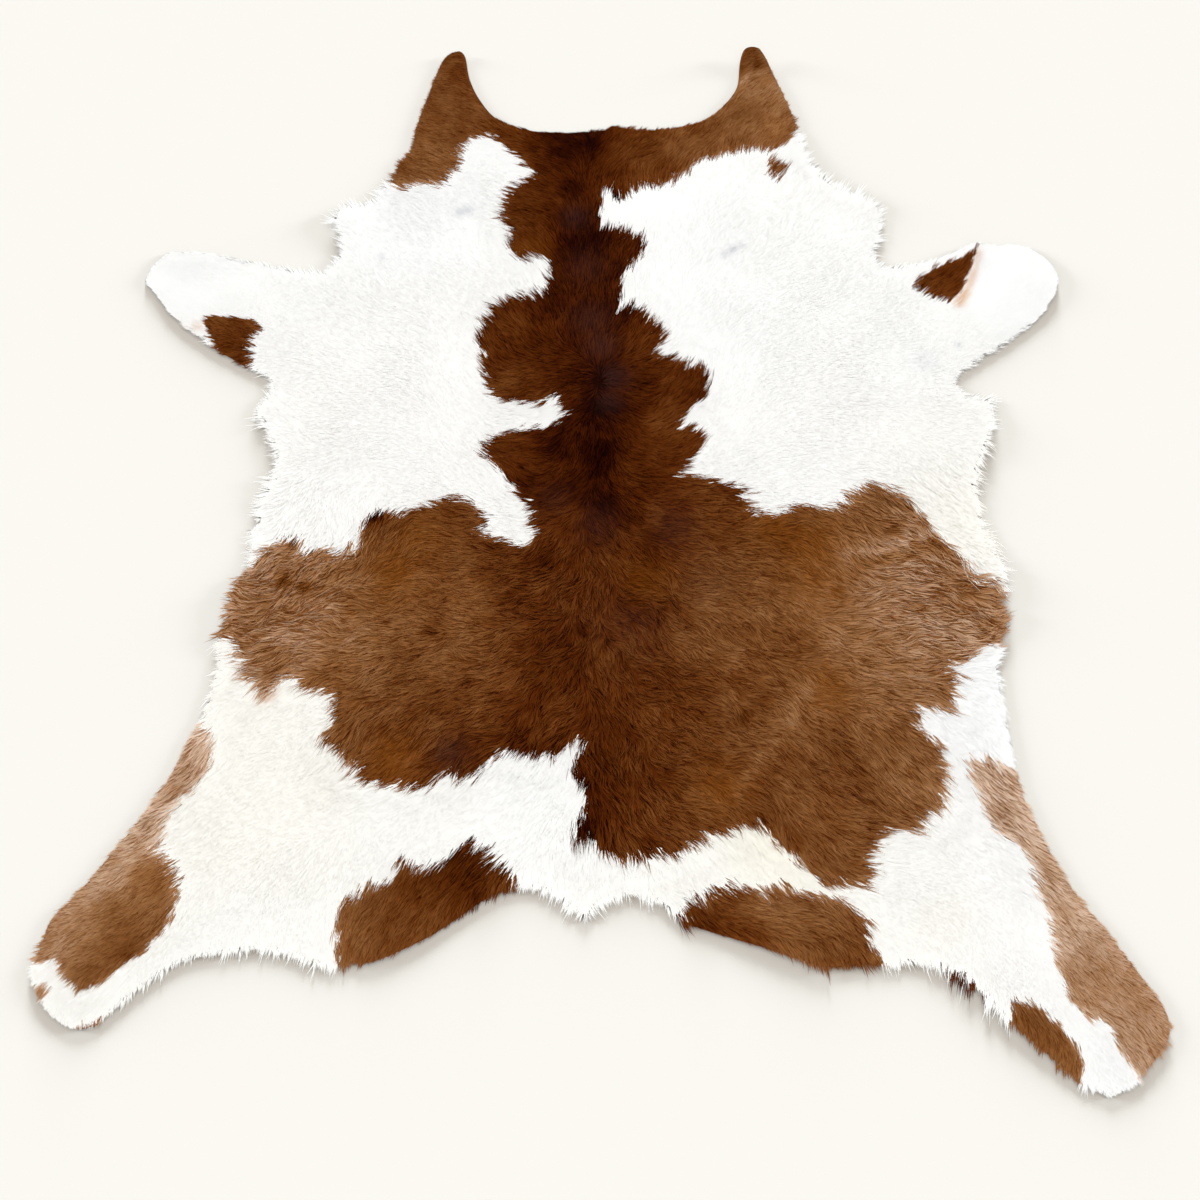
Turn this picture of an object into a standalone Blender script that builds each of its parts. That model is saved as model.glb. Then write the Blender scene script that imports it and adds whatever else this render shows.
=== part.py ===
"""Cowhide rug: one tanned hide with its hair on, laid flat with the hair side up.

Metres, +Z up. The neck points to +Y and the tail to -Y. The origin is under
the middle of the hide's box, on the surface that the hide lies on.
"""

import math
import random
from collections import namedtuple

import bmesh
import bpy
from mathutils import Vector, noise
from mathutils.geometry import delaunay_2d_cdt

# driving dimensions
SKIN = 0.0022          # the leather
RIM_PILE = 0.0016      # hair depth right at the cut edge
RIM_WIDTH = 0.022      # over which the pile swells from the edge inwards
TIP_THICK = 0.0012     # a lock of hair at its tip
LUMP = 0.0032          # rise and fall of the lying locks
LUMP_SIZE = 0.095      # from one lump to the next
SPINE_RISE = 0.0025    # hair stands higher where it parts along the back
SPINE_X = -0.006
SPINE_WIDTH = 0.030
SPINE_ENDS = (-0.10, 0.72)

SMOOTH_STEP = 0.020    # between edge points on the short-haired stretches
LOCK_STEP = 0.020      # from one lock to the next on the shaggy ones
LOCK_LEAST = 0.009     # shorter hair than this makes no lock
LOCK_SPREAD = 0.45     # locks differ in length by this share
LOCK_LEAN = 0.6        # and lean this far from straight out towards the way the coat lies
STEEPEST = 0.5         # unless that takes a lock past 60 degrees from straight out
TIP_PLACE = (0.4, 0.6)  # a tip starts this far along from one edge point to the next
ROOT_SHIFT = 0.22      # roots stray along the edge by this share of a step
FIELD_STEP = 0.036     # between points in the field of the hide
FIELD_SHIFT = 0.25     # they stray by this share of it
RIM_ROW = 0.012        # from the cut edge to the first row of field points
CLEAR = 0.010          # field points keep this far from the edge
CROWDED = 0.011        # and this far from each other
LEVEL_EVERY = 3        # underneath, one field point in this many does where it lies level
NEAR_RIPPLE = 0.058    # all of them stay this near to a ripple
SAME_PLACE = 1e-6      # points closer than this count as one

BLEND = 0.063          # the coat's rows blend into one another over about this distance
FALL_OFF = 1.5         # how fast a row's say fades past it

CHESTNUT = (0.115, 0.032, 0.010, 1.0)
HAIR_ROUGHNESS = 0.62

EDGE_SEED = 3          # where the roots of the locks stray to
LOCK_SEED = 7          # how long the locks are
FIELD_SEED = 11        # how the field points stray

# the cut edge, clockwise from the foot of the left ear flap
# turn: corner or round; hair: how far the hair stands out past the edge
Edge = namedtuple("Edge", "turn x y hair")

LEFT_EAR = (
    Edge("corner", -0.368, 0.647, 0.010),
    Edge("round", -0.362, 0.683, 0.008),
    Edge("round", -0.341, 0.716, 0.007),
    Edge("round", -0.332, 0.768, 0.005),
    Edge("round", -0.311, 0.845, 0.005),
    Edge("round", -0.291, 0.910, 0.003),
    Edge("round", -0.280, 0.926, 0.002),
    Edge("round", -0.258, 0.934, 0.002),
    Edge("round", -0.247, 0.921, 0.002),
    Edge("round", -0.238, 0.874, 0.003),
    Edge("round", -0.218, 0.828, 0.003),
    Edge("round", -0.185, 0.786, 0.003),
    Edge("round", -0.129, 0.761, 0.003),
)
NECK_CUT = (
    Edge("round", -0.059, 0.755, 0.003),
    Edge("corner", 0.016, 0.761, 0.005),
    Edge("corner", 0.029, 0.770, 0.006),
    Edge("round", 0.079, 0.761, 0.006),
    Edge("round", 0.145, 0.766, 0.006),
    Edge("round", 0.203, 0.786, 0.003),
    Edge("round", 0.237, 0.819, 0.003),
    Edge("round", 0.260, 0.857, 0.002),
)
RIGHT_EAR = (
    Edge("round", 0.267, 0.911, 0.002),
    Edge("round", 0.277, 0.934, 0.002),
    Edge("round", 0.300, 0.936, 0.002),
    Edge("round", 0.316, 0.915, 0.002),
    Edge("round", 0.337, 0.861, 0.003),
    Edge("round", 0.357, 0.803, 0.005),
    Edge("round", 0.368, 0.759, 0.008),
)
RIGHT_NECK = (
    Edge("round", 0.377, 0.714, 0.012),
    Edge("round", 0.402, 0.666, 0.013),
    Edge("round", 0.437, 0.634, 0.013),
    Edge("round", 0.476, 0.615, 0.012),
    Edge("corner", 0.508, 0.598, 0.010),
    Edge("round", 0.509, 0.562, 0.010),
    Edge("round", 0.504, 0.529, 0.010),
    Edge("corner", 0.486, 0.496, 0.010),
    Edge("corner", 0.506, 0.473, 0.008),
)
RIGHT_FORELEG = (
    Edge("round", 0.543, 0.471, 0.005),
    Edge("round", 0.603, 0.486, 0.003),
    Edge("corner", 0.675, 0.519, 0.005),
    Edge("round", 0.712, 0.515, 0.002),
    Edge("round", 0.757, 0.517, 0.002),
    Edge("round", 0.798, 0.490, 0.002),
    Edge("round", 0.817, 0.453, 0.002),
    Edge("round", 0.807, 0.415, 0.003),
    Edge("round", 0.772, 0.366, 0.003),
    Edge("round", 0.719, 0.323, 0.007),
    Edge("round", 0.664, 0.287, 0.008),
    Edge("round", 0.625, 0.260, 0.008),
    Edge("corner", 0.618, 0.238, 0.008),
    Edge("corner", 0.637, 0.213, 0.010),
)
RIGHT_FLANK = (
    Edge("corner", 0.680, 0.208, 0.010),
    Edge("round", 0.674, 0.152, 0.013),
    Edge("round", 0.638, 0.062, 0.013),
    Edge("round", 0.640, 0.007, 0.013),
    Edge("round", 0.651, -0.051, 0.013),
    Edge("round", 0.670, -0.094, 0.012),
    Edge("round", 0.675, -0.123, 0.010),
    Edge("round", 0.659, -0.151, 0.010),
    Edge("round", 0.667, -0.193, 0.010),
    Edge("round", 0.657, -0.236, 0.010),
    Edge("round", 0.650, -0.282, 0.007),
    Edge("round", 0.659, -0.388, 0.005),
    Edge("round", 0.670, -0.478, 0.005),
)
RIGHT_HIND_LEG = (
    Edge("round", 0.691, -0.539, 0.005),
    Edge("round", 0.731, -0.627, 0.005),
    Edge("round", 0.794, -0.719, 0.005),
    Edge("round", 0.855, -0.812, 0.005),
    Edge("round", 0.862, -0.843, 0.007),
    Edge("round", 0.850, -0.873, 0.008),
    Edge("round", 0.816, -0.908, 0.007),
    Edge("corner", 0.799, -0.927, 0.005),
    Edge("corner", 0.763, -0.944, 0.003),
    Edge("round", 0.726, -0.925, 0.010),
    Edge("round", 0.682, -0.888, 0.013),
    Edge("round", 0.626, -0.835, 0.015),
    Edge("round", 0.589, -0.794, 0.017),
    Edge("round", 0.556, -0.766, 0.017),
    Edge("round", 0.521, -0.751, 0.020),
    Edge("round", 0.471, -0.746, 0.015),
)
RUMP = (
    Edge("round", 0.389, -0.752, 0.012),
    Edge("round", 0.348, -0.754, 0.010),
    Edge("round", 0.303, -0.740, 0.010),
    Edge("round", 0.247, -0.722, 0.004),
    Edge("round", 0.143, -0.690, 0.005),
    Edge("round", 0.116, -0.670, 0.013),
    Edge("round", 0.075, -0.641, 0.015),
    Edge("round", 0.039, -0.643, 0.015),
    Edge("round", 0.005, -0.655, 0.017),
    Edge("corner", -0.017, -0.684, 0.013),
    Edge("round", -0.054, -0.649, 0.015),
    Edge("round", -0.091, -0.633, 0.015),
    Edge("round", -0.131, -0.633, 0.012),
    Edge("round", -0.170, -0.649, 0.006),
    Edge("round", -0.256, -0.707, 0.004),
    Edge("round", -0.343, -0.746, 0.005),
)
LEFT_HIND_LEG = (
    Edge("round", -0.384, -0.746, 0.017),
    Edge("round", -0.425, -0.749, 0.017),
    Edge("round", -0.466, -0.734, 0.015),
    Edge("round", -0.513, -0.725, 0.013),
    Edge("round", -0.569, -0.731, 0.013),
    Edge("round", -0.629, -0.742, 0.012),
    Edge("round", -0.668, -0.764, 0.010),
    Edge("round", -0.722, -0.809, 0.007),
    Edge("round", -0.759, -0.841, 0.005),
    Edge("round", -0.790, -0.844, 0.003),
    Edge("round", -0.826, -0.821, 0.003),
    Edge("round", -0.851, -0.788, 0.005),
    Edge("corner", -0.862, -0.763, 0.007),
    Edge("round", -0.851, -0.725, 0.007),
    Edge("round", -0.839, -0.683, 0.005),
    Edge("round", -0.801, -0.641, 0.005),
    Edge("round", -0.691, -0.486, 0.005),
)
LEFT_FLANK = (
    Edge("round", -0.662, -0.423, 0.005),
    Edge("round", -0.632, -0.355, 0.005),
    Edge("round", -0.615, -0.271, 0.007),
    Edge("corner", -0.617, -0.236, 0.012),
    Edge("round", -0.606, -0.196, 0.012),
    Edge("round", -0.597, -0.144, 0.012),
    Edge("round", -0.575, -0.098, 0.012),
    Edge("round", -0.564, 0.022, 0.015),
    Edge("round", -0.543, 0.066, 0.013),
    Edge("round", -0.546, 0.105, 0.013),
    Edge("round", -0.565, 0.156, 0.015),
    Edge("corner", -0.587, 0.187, 0.012),
    Edge("corner", -0.578, 0.206, 0.010),
)
LEFT_FORELEG = (
    Edge("corner", -0.557, 0.221, 0.008),
    Edge("round", -0.568, 0.252, 0.008),
    Edge("round", -0.606, 0.272, 0.007),
    Edge("round", -0.664, 0.307, 0.005),
    Edge("round", -0.747, 0.374, 0.003),
    Edge("round", -0.779, 0.415, 0.002),
    Edge("corner", -0.802, 0.443, 0.002),
    Edge("round", -0.789, 0.473, 0.003),
    Edge("corner", -0.768, 0.501, 0.002),
    Edge("round", -0.699, 0.500, 0.003),
    Edge("round", -0.538, 0.463, 0.007),
)
LEFT_NECK = (
    Edge("corner", -0.486, 0.457, 0.010),
    Edge("round", -0.459, 0.494, 0.013),
    Edge("round", -0.454, 0.529, 0.013),
    Edge("corner", -0.473, 0.566, 0.013),
    Edge("corner", -0.468, 0.586, 0.015),
    Edge("round", -0.424, 0.598, 0.013),
    Edge("corner", -0.393, 0.613, 0.015),
    Edge("corner", -0.389, 0.641, 0.015),
)
BODY_PARTS = (
    LEFT_EAR, NECK_CUT, RIGHT_EAR, RIGHT_NECK, RIGHT_FORELEG, RIGHT_FLANK,
    RIGHT_HIND_LEG, RUMP, LEFT_HIND_LEG, LEFT_FLANK, LEFT_FORELEG, LEFT_NECK,
)

# how the coat lies: heading of the hair tips in degrees from +X, and pile depth
Coat = namedtuple("Coat", "part x y heading pile")
COATS = (
    Coat("left ear", -0.30, 0.78, 125, 0.0026),
    Coat("right ear", 0.31, 0.80, 60, 0.0026),
    Coat("neck cut", 0.00, 0.72, 80, 0.0030),
    Coat("left neck", -0.40, 0.56, 145, 0.0042),
    Coat("right neck", 0.42, 0.58, 40, 0.0042),
    Coat("left foreleg", -0.68, 0.40, 165, 0.0026),
    Coat("right foreleg", 0.70, 0.40, 10, 0.0026),
    Coat("left shoulder", -0.35, 0.28, 185, 0.0044),
    Coat("right shoulder", 0.38, 0.28, -10, 0.0044),
    Coat("left back", -0.12, 0.15, 220, 0.0040),
    Coat("right back", 0.12, 0.15, -40, 0.0040),
    Coat("left flank", -0.52, -0.08, 185, 0.0058),
    Coat("right flank", 0.58, -0.10, -20, 0.0058),
    Coat("left saddle", -0.25, -0.20, 225, 0.0046),
    Coat("right saddle", 0.28, -0.20, -45, 0.0046),
    Coat("left thigh", -0.50, -0.52, 235, 0.0044),
    Coat("right thigh", 0.52, -0.55, -50, 0.0044),
    Coat("left hock", -0.76, -0.72, 225, 0.0028),
    Coat("right hock", 0.76, -0.78, -50, 0.0028),
    Coat("tail head", -0.01, -0.55, -90, 0.0050),
)

# where the hide doesn't lie dead flat: long, soft ripples that run out at the rim
# along, across: half its length and half its width; heading: of its length
Ripple = namedtuple("Ripple", "part x y along across heading height")
RIPPLES = (
    Ripple("curled tip of the right ear", 0.281, 0.962, 0.095, 0.075, 105, 0.0150),
    Ripple("tip of the left ear", -0.262, 0.955, 0.060, 0.060, 70, 0.0060),
    Ripple("right side of the neck", 0.450, 0.665, 0.140, 0.075, -45, 0.0065),
    Ripple("left side of the neck", -0.470, 0.560, 0.110, 0.070, 60, 0.0060),
    Ripple("fold across the right foreleg", 0.668, 0.490, 0.110, 0.030, -100, 0.0050),
    Ripple("toe of the right foreleg", 0.840, 0.420, 0.120, 0.080, 70, 0.0025),
    Ripple("lower edge of the left foreleg", -0.750, 0.340, 0.160, 0.060, -40, 0.0016),
    Ripple("upper flank on the right", 0.705, 0.110, 0.120, 0.090, 85, 0.0060),
    Ripple("belly edge on the right", 0.705, -0.160, 0.120, 0.085, 90, 0.0075),
    Ripple("upper flank on the left", -0.600, 0.090, 0.110, 0.080, 95, 0.0060),
    Ripple("belly edge on the left", -0.640, -0.170, 0.120, 0.080, 75, 0.0070),
    Ripple("right hind foot", 0.850, -0.920, 0.110, 0.110, -45, 0.0010),
    Ripple("lower edge of the right hind leg", 0.600, -0.830, 0.170, 0.050, -42, 0.0024),
    Ripple("left hind foot", -0.860, -0.820, 0.110, 0.110, 45, 0.0010),
    Ripple("right buttock", 0.270, -0.775, 0.150, 0.070, -15, 0.0056),
    Ripple("left buttock", -0.290, -0.775, 0.150, 0.070, 20, 0.0034),
)


def cut_edge():
    """The edge as (place, hair) samples, smooth through its round rows."""
    rows = [row for part in BODY_PARTS for row in part]
    count = len(rows)
    places = [Vector((row.x, row.y)) for row in rows]
    samples = []
    dice = random.Random(EDGE_SEED)
    for i, row in enumerate(rows):
        after = (i + 1) % count
        chord = places[after] - places[i]
        leave = chord.copy()
        arrive = chord.copy()
        if row.turn == "round":
            leave = (places[after] - places[i - 1]) / 2
        if rows[after].turn == "round":
            arrive = (places[(i + 2) % count] - places[i]) / 2
        for tangent in (leave, arrive):
            if tangent.length > chord.length:
                tangent *= chord.length / tangent.length
        shaggy = row.hair >= LOCK_LEAST
        step = LOCK_STEP if shaggy else SMOOTH_STEP
        pieces = max(1, round(chord.length / step))
        for k in range(pieces):
            stray = ROOT_SHIFT * dice.uniform(-1, 1) if shaggy and k > 0 else 0.0
            t = (k + stray) / pieces
            place = (
                (2 * t**3 - 3 * t**2 + 1) * places[i]
                + (t**3 - 2 * t**2 + t) * leave
                + (3 * t**2 - 2 * t**3) * places[after]
                + (t**3 - t**2) * arrive
            )
            samples.append((place, row.hair + t * (rows[after].hair - row.hair)))
    return samples


def coat_at(place):
    """Heading of the hair as a unit vector, and the depth of the pile."""
    heading = Vector((0.0, 0.0))
    pile = 0.0
    total = 0.0
    for coat in COATS:
        distance = (place - Vector((coat.x, coat.y))).length
        weight = 1 / (distance**2 + BLEND**2) ** FALL_OFF
        angle = math.radians(coat.heading)
        heading += weight * Vector((math.cos(angle), math.sin(angle)))
        pile += weight * coat.pile
        total += weight
    return heading.normalized(), pile / total


def lift_at(place):
    """How far the hide stands off the floor; exactly 0 away from its ripples."""
    lift = 0.0
    for ripple in RIPPLES:
        angle = math.radians(ripple.heading)
        offset = place - Vector((ripple.x, ripple.y))
        along = offset.x * math.cos(angle) + offset.y * math.sin(angle)
        across = offset.y * math.cos(angle) - offset.x * math.sin(angle)
        reach = (along / ripple.along) ** 2 + (across / ripple.across) ** 2
        if reach < 1:
            lift = max(lift, ripple.height * (1 - reach) ** 2)
    return lift


def thickness_at(place, inside):
    """Leather and lying hair together, thin at the rim, at a distance inside it."""
    swell = min(1.0, inside / RIM_WIDTH)
    swell = swell * swell * (3 - 2 * swell)
    pile = coat_at(place)[1]
    depth = RIM_PILE + swell * (pile - RIM_PILE)
    lumps = LUMP * noise.noise(Vector((place.x, place.y, 0.0)) / LUMP_SIZE)
    low, high = SPINE_ENDS
    ridge = 0.0
    if low < place.y < high:
        off = (place.x - SPINE_X) / SPINE_WIDTH
        ridge = SPINE_RISE * math.exp(-off * off)
    return SKIN + depth + swell * (lumps + ridge)


def rim_with_locks(samples):
    """The outline: edge points, and the tip of a lock between two of them."""
    dice = random.Random(LOCK_SEED)
    rim = []
    count = len(samples)
    for i, (place, hair) in enumerate(samples):
        rim.append((place, False))
        following, next_hair = samples[(i + 1) % count]
        run = following - place
        reach = min(hair, next_hair)
        if reach < LOCK_LEAST or run.length < LOCK_STEP / 2:
            continue
        outward = Vector((-run.y, run.x)).normalized()
        lay = coat_at(place)[0]
        lean = (outward + LOCK_LEAN * lay).normalized()
        if lean.dot(outward) < STEEPEST:
            lean = outward
        length = reach * (1 + LOCK_SPREAD * dice.uniform(-1, 1))
        middle = place + run * dice.uniform(*TIP_PLACE)
        rim.append((middle + lean * length, True))
    return rim


def inside_depth(place, outline):
    """Distance from a place to the cut edge, negative when it lies outside."""
    nearest = math.inf
    within = False
    for a, b in zip(outline, outline[1:] + outline[:1]):
        side = b - a
        t = max(0.0, min(1.0, (place - a).dot(side) / side.length_squared))
        nearest = min(nearest, (place - a - side * t).length)
        if (a.y > place.y) != (b.y > place.y):
            if place.x < a.x + (place.y - a.y) * side.x / side.y:
                within = not within
    return nearest if within else -nearest


def field_points(outline):
    """A row just inside the edge, then a staggered grid over the whole hide."""
    points = []
    for i, place in enumerate(outline):
        ahead = outline[(i + 1) % len(outline)]
        inward = Vector((ahead.y - place.y, place.x - ahead.x)).normalized()
        points.append((place + ahead) / 2 + inward * RIM_ROW)
    dice = random.Random(FIELD_SEED)
    low = Vector((min(p.x for p in outline), min(p.y for p in outline)))
    high = Vector((max(p.x for p in outline), max(p.y for p in outline)))
    row_step = FIELD_STEP * math.sqrt(3) / 2
    stray = FIELD_STEP * FIELD_SHIFT
    for row in range(math.ceil((high.y - low.y) / row_step)):
        for column in range(math.ceil((high.x - low.x) / FIELD_STEP)):
            x = low.x + (column + 0.5 * (row % 2)) * FIELD_STEP
            y = low.y + row * row_step
            shift = Vector((dice.uniform(-stray, stray), dice.uniform(-stray, stray)))
            points.append(Vector((x, y)) + shift)
    kept = []
    for point in points:
        depth = inside_depth(point, outline)
        if depth < CLEAR:
            continue
        crowded = any((point - other).length < CROWDED for other, _ in kept)
        if not crowded:
            kept.append((point, depth))
    return kept


def filled(rim, field):
    """Counter-clockwise triangles over the rim points and then the field points."""
    flat = rim + field
    made = delaunay_2d_cdt(flat, [], [list(range(len(rim)))], 1, SAME_PLACE)
    places, triangles, origins = made[0], made[2], made[3]
    if len(places) != len(flat):
        raise ValueError("the rim crosses itself, or two points fall together")
    source = [origin[0] for origin in origins]
    corners = []
    for a, b, c in triangles:
        if (places[b] - places[a]).cross(places[c] - places[a]) < 0:
            b, c = c, b
        corners.append((source[a], source[b], source[c]))
    return corners


def level_field(field):
    """Fewer field points where the hide lies level, all of them over its ripples."""
    around = [NEAR_RIPPLE * Vector(way) for way in ((0, 0), (1, 0), (-1, 0), (0, 1), (0, -1))]
    kept = []
    for i, (place, depth) in enumerate(field):
        near = any(lift_at(place + step) > 0 for step in around)
        if near or i % LEVEL_EVERY == 0:
            kept.append((place, depth))
    return kept


def make_hide():
    """The whole hide as one closed slab, level underneath where it lies."""
    samples = cut_edge()
    outline = [place for place, _ in samples]
    rim = rim_with_locks(samples)
    rim_places = [place for place, _ in rim]
    over_field = field_points(outline)
    under_field = level_field(over_field)

    xs = [place.x for place in rim_places]
    ys = [place.y for place in rim_places]
    middle = Vector((min(xs) + max(xs), min(ys) + max(ys))) / 2

    mesh = bmesh.new()
    over = []
    under = []
    for place, is_tip in rim:
        x, y = place - middle
        lift = lift_at(place)
        thick = TIP_THICK if is_tip else SKIN + RIM_PILE
        over.append(mesh.verts.new((x, y, lift + thick)))
        under.append(mesh.verts.new((x, y, lift)))
    for place, depth in over_field:
        x, y = place - middle
        over.append(mesh.verts.new((x, y, lift_at(place) + thickness_at(place, depth))))
    for place, _ in under_field:
        x, y = place - middle
        under.append(mesh.verts.new((x, y, lift_at(place))))

    for a, b, c in filled(rim_places, [place for place, _ in over_field]):
        mesh.faces.new((over[a], over[b], over[c]))
    for a, b, c in filled(rim_places, [place for place, _ in under_field]):
        mesh.faces.new((under[a], under[c], under[b]))
    for a in range(len(rim)):
        b = (a + 1) % len(rim)
        mesh.faces.new((over[a], over[b], under[b]))
        mesh.faces.new((over[a], under[b], under[a]))

    data = bpy.data.meshes.new("hide")
    mesh.to_mesh(data)
    mesh.free()
    hide = bpy.data.objects.new("hide", data)
    bpy.context.collection.objects.link(hide)
    return hide


def hair_on_leather():
    """Chestnut hair, the hide's main colour."""
    material = bpy.data.materials.new("chestnut_hair")
    material.use_nodes = True
    shader = material.node_tree.nodes["Principled BSDF"]
    shader.inputs["Base Color"].default_value = CHESTNUT
    shader.inputs["Roughness"].default_value = HAIR_ROUGHNESS
    shader.inputs["Metallic"].default_value = 0.0
    return material


def main():
    for old in list(bpy.data.objects):
        bpy.data.objects.remove(old)
    hide = make_hide()
    hide.data.materials.append(hair_on_leather())


main()
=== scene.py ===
import math

import bpy
import numpy as np
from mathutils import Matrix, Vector, noise
from mathutils.geometry import delaunay_2d_cdt


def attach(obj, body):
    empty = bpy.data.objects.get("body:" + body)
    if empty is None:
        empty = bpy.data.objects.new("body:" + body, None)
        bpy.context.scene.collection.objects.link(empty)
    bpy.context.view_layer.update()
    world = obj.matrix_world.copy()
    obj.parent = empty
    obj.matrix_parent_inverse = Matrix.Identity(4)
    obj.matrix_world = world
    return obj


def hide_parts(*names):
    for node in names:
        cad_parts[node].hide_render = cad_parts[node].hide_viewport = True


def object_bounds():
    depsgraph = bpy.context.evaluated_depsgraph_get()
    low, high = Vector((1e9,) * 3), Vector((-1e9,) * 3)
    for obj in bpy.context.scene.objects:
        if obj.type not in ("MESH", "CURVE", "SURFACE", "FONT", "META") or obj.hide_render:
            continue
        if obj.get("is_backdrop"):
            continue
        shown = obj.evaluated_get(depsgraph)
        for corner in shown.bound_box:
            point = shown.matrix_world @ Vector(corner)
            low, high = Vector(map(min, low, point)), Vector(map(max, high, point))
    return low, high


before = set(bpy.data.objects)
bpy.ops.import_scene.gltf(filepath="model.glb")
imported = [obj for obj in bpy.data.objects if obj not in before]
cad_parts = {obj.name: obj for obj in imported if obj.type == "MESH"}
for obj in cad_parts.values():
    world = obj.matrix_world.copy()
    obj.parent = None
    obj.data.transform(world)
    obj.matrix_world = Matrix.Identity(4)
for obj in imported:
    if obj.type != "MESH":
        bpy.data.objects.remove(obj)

cadLow, cadHigh = (list(corner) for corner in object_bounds())
print("frame loaded, solid reaches from", cadLow, "to", cadHigh)

hideMiddle = np.array([0.0, -0.004, 0.0])      # where the solid's origin lies in the tables below

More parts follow.
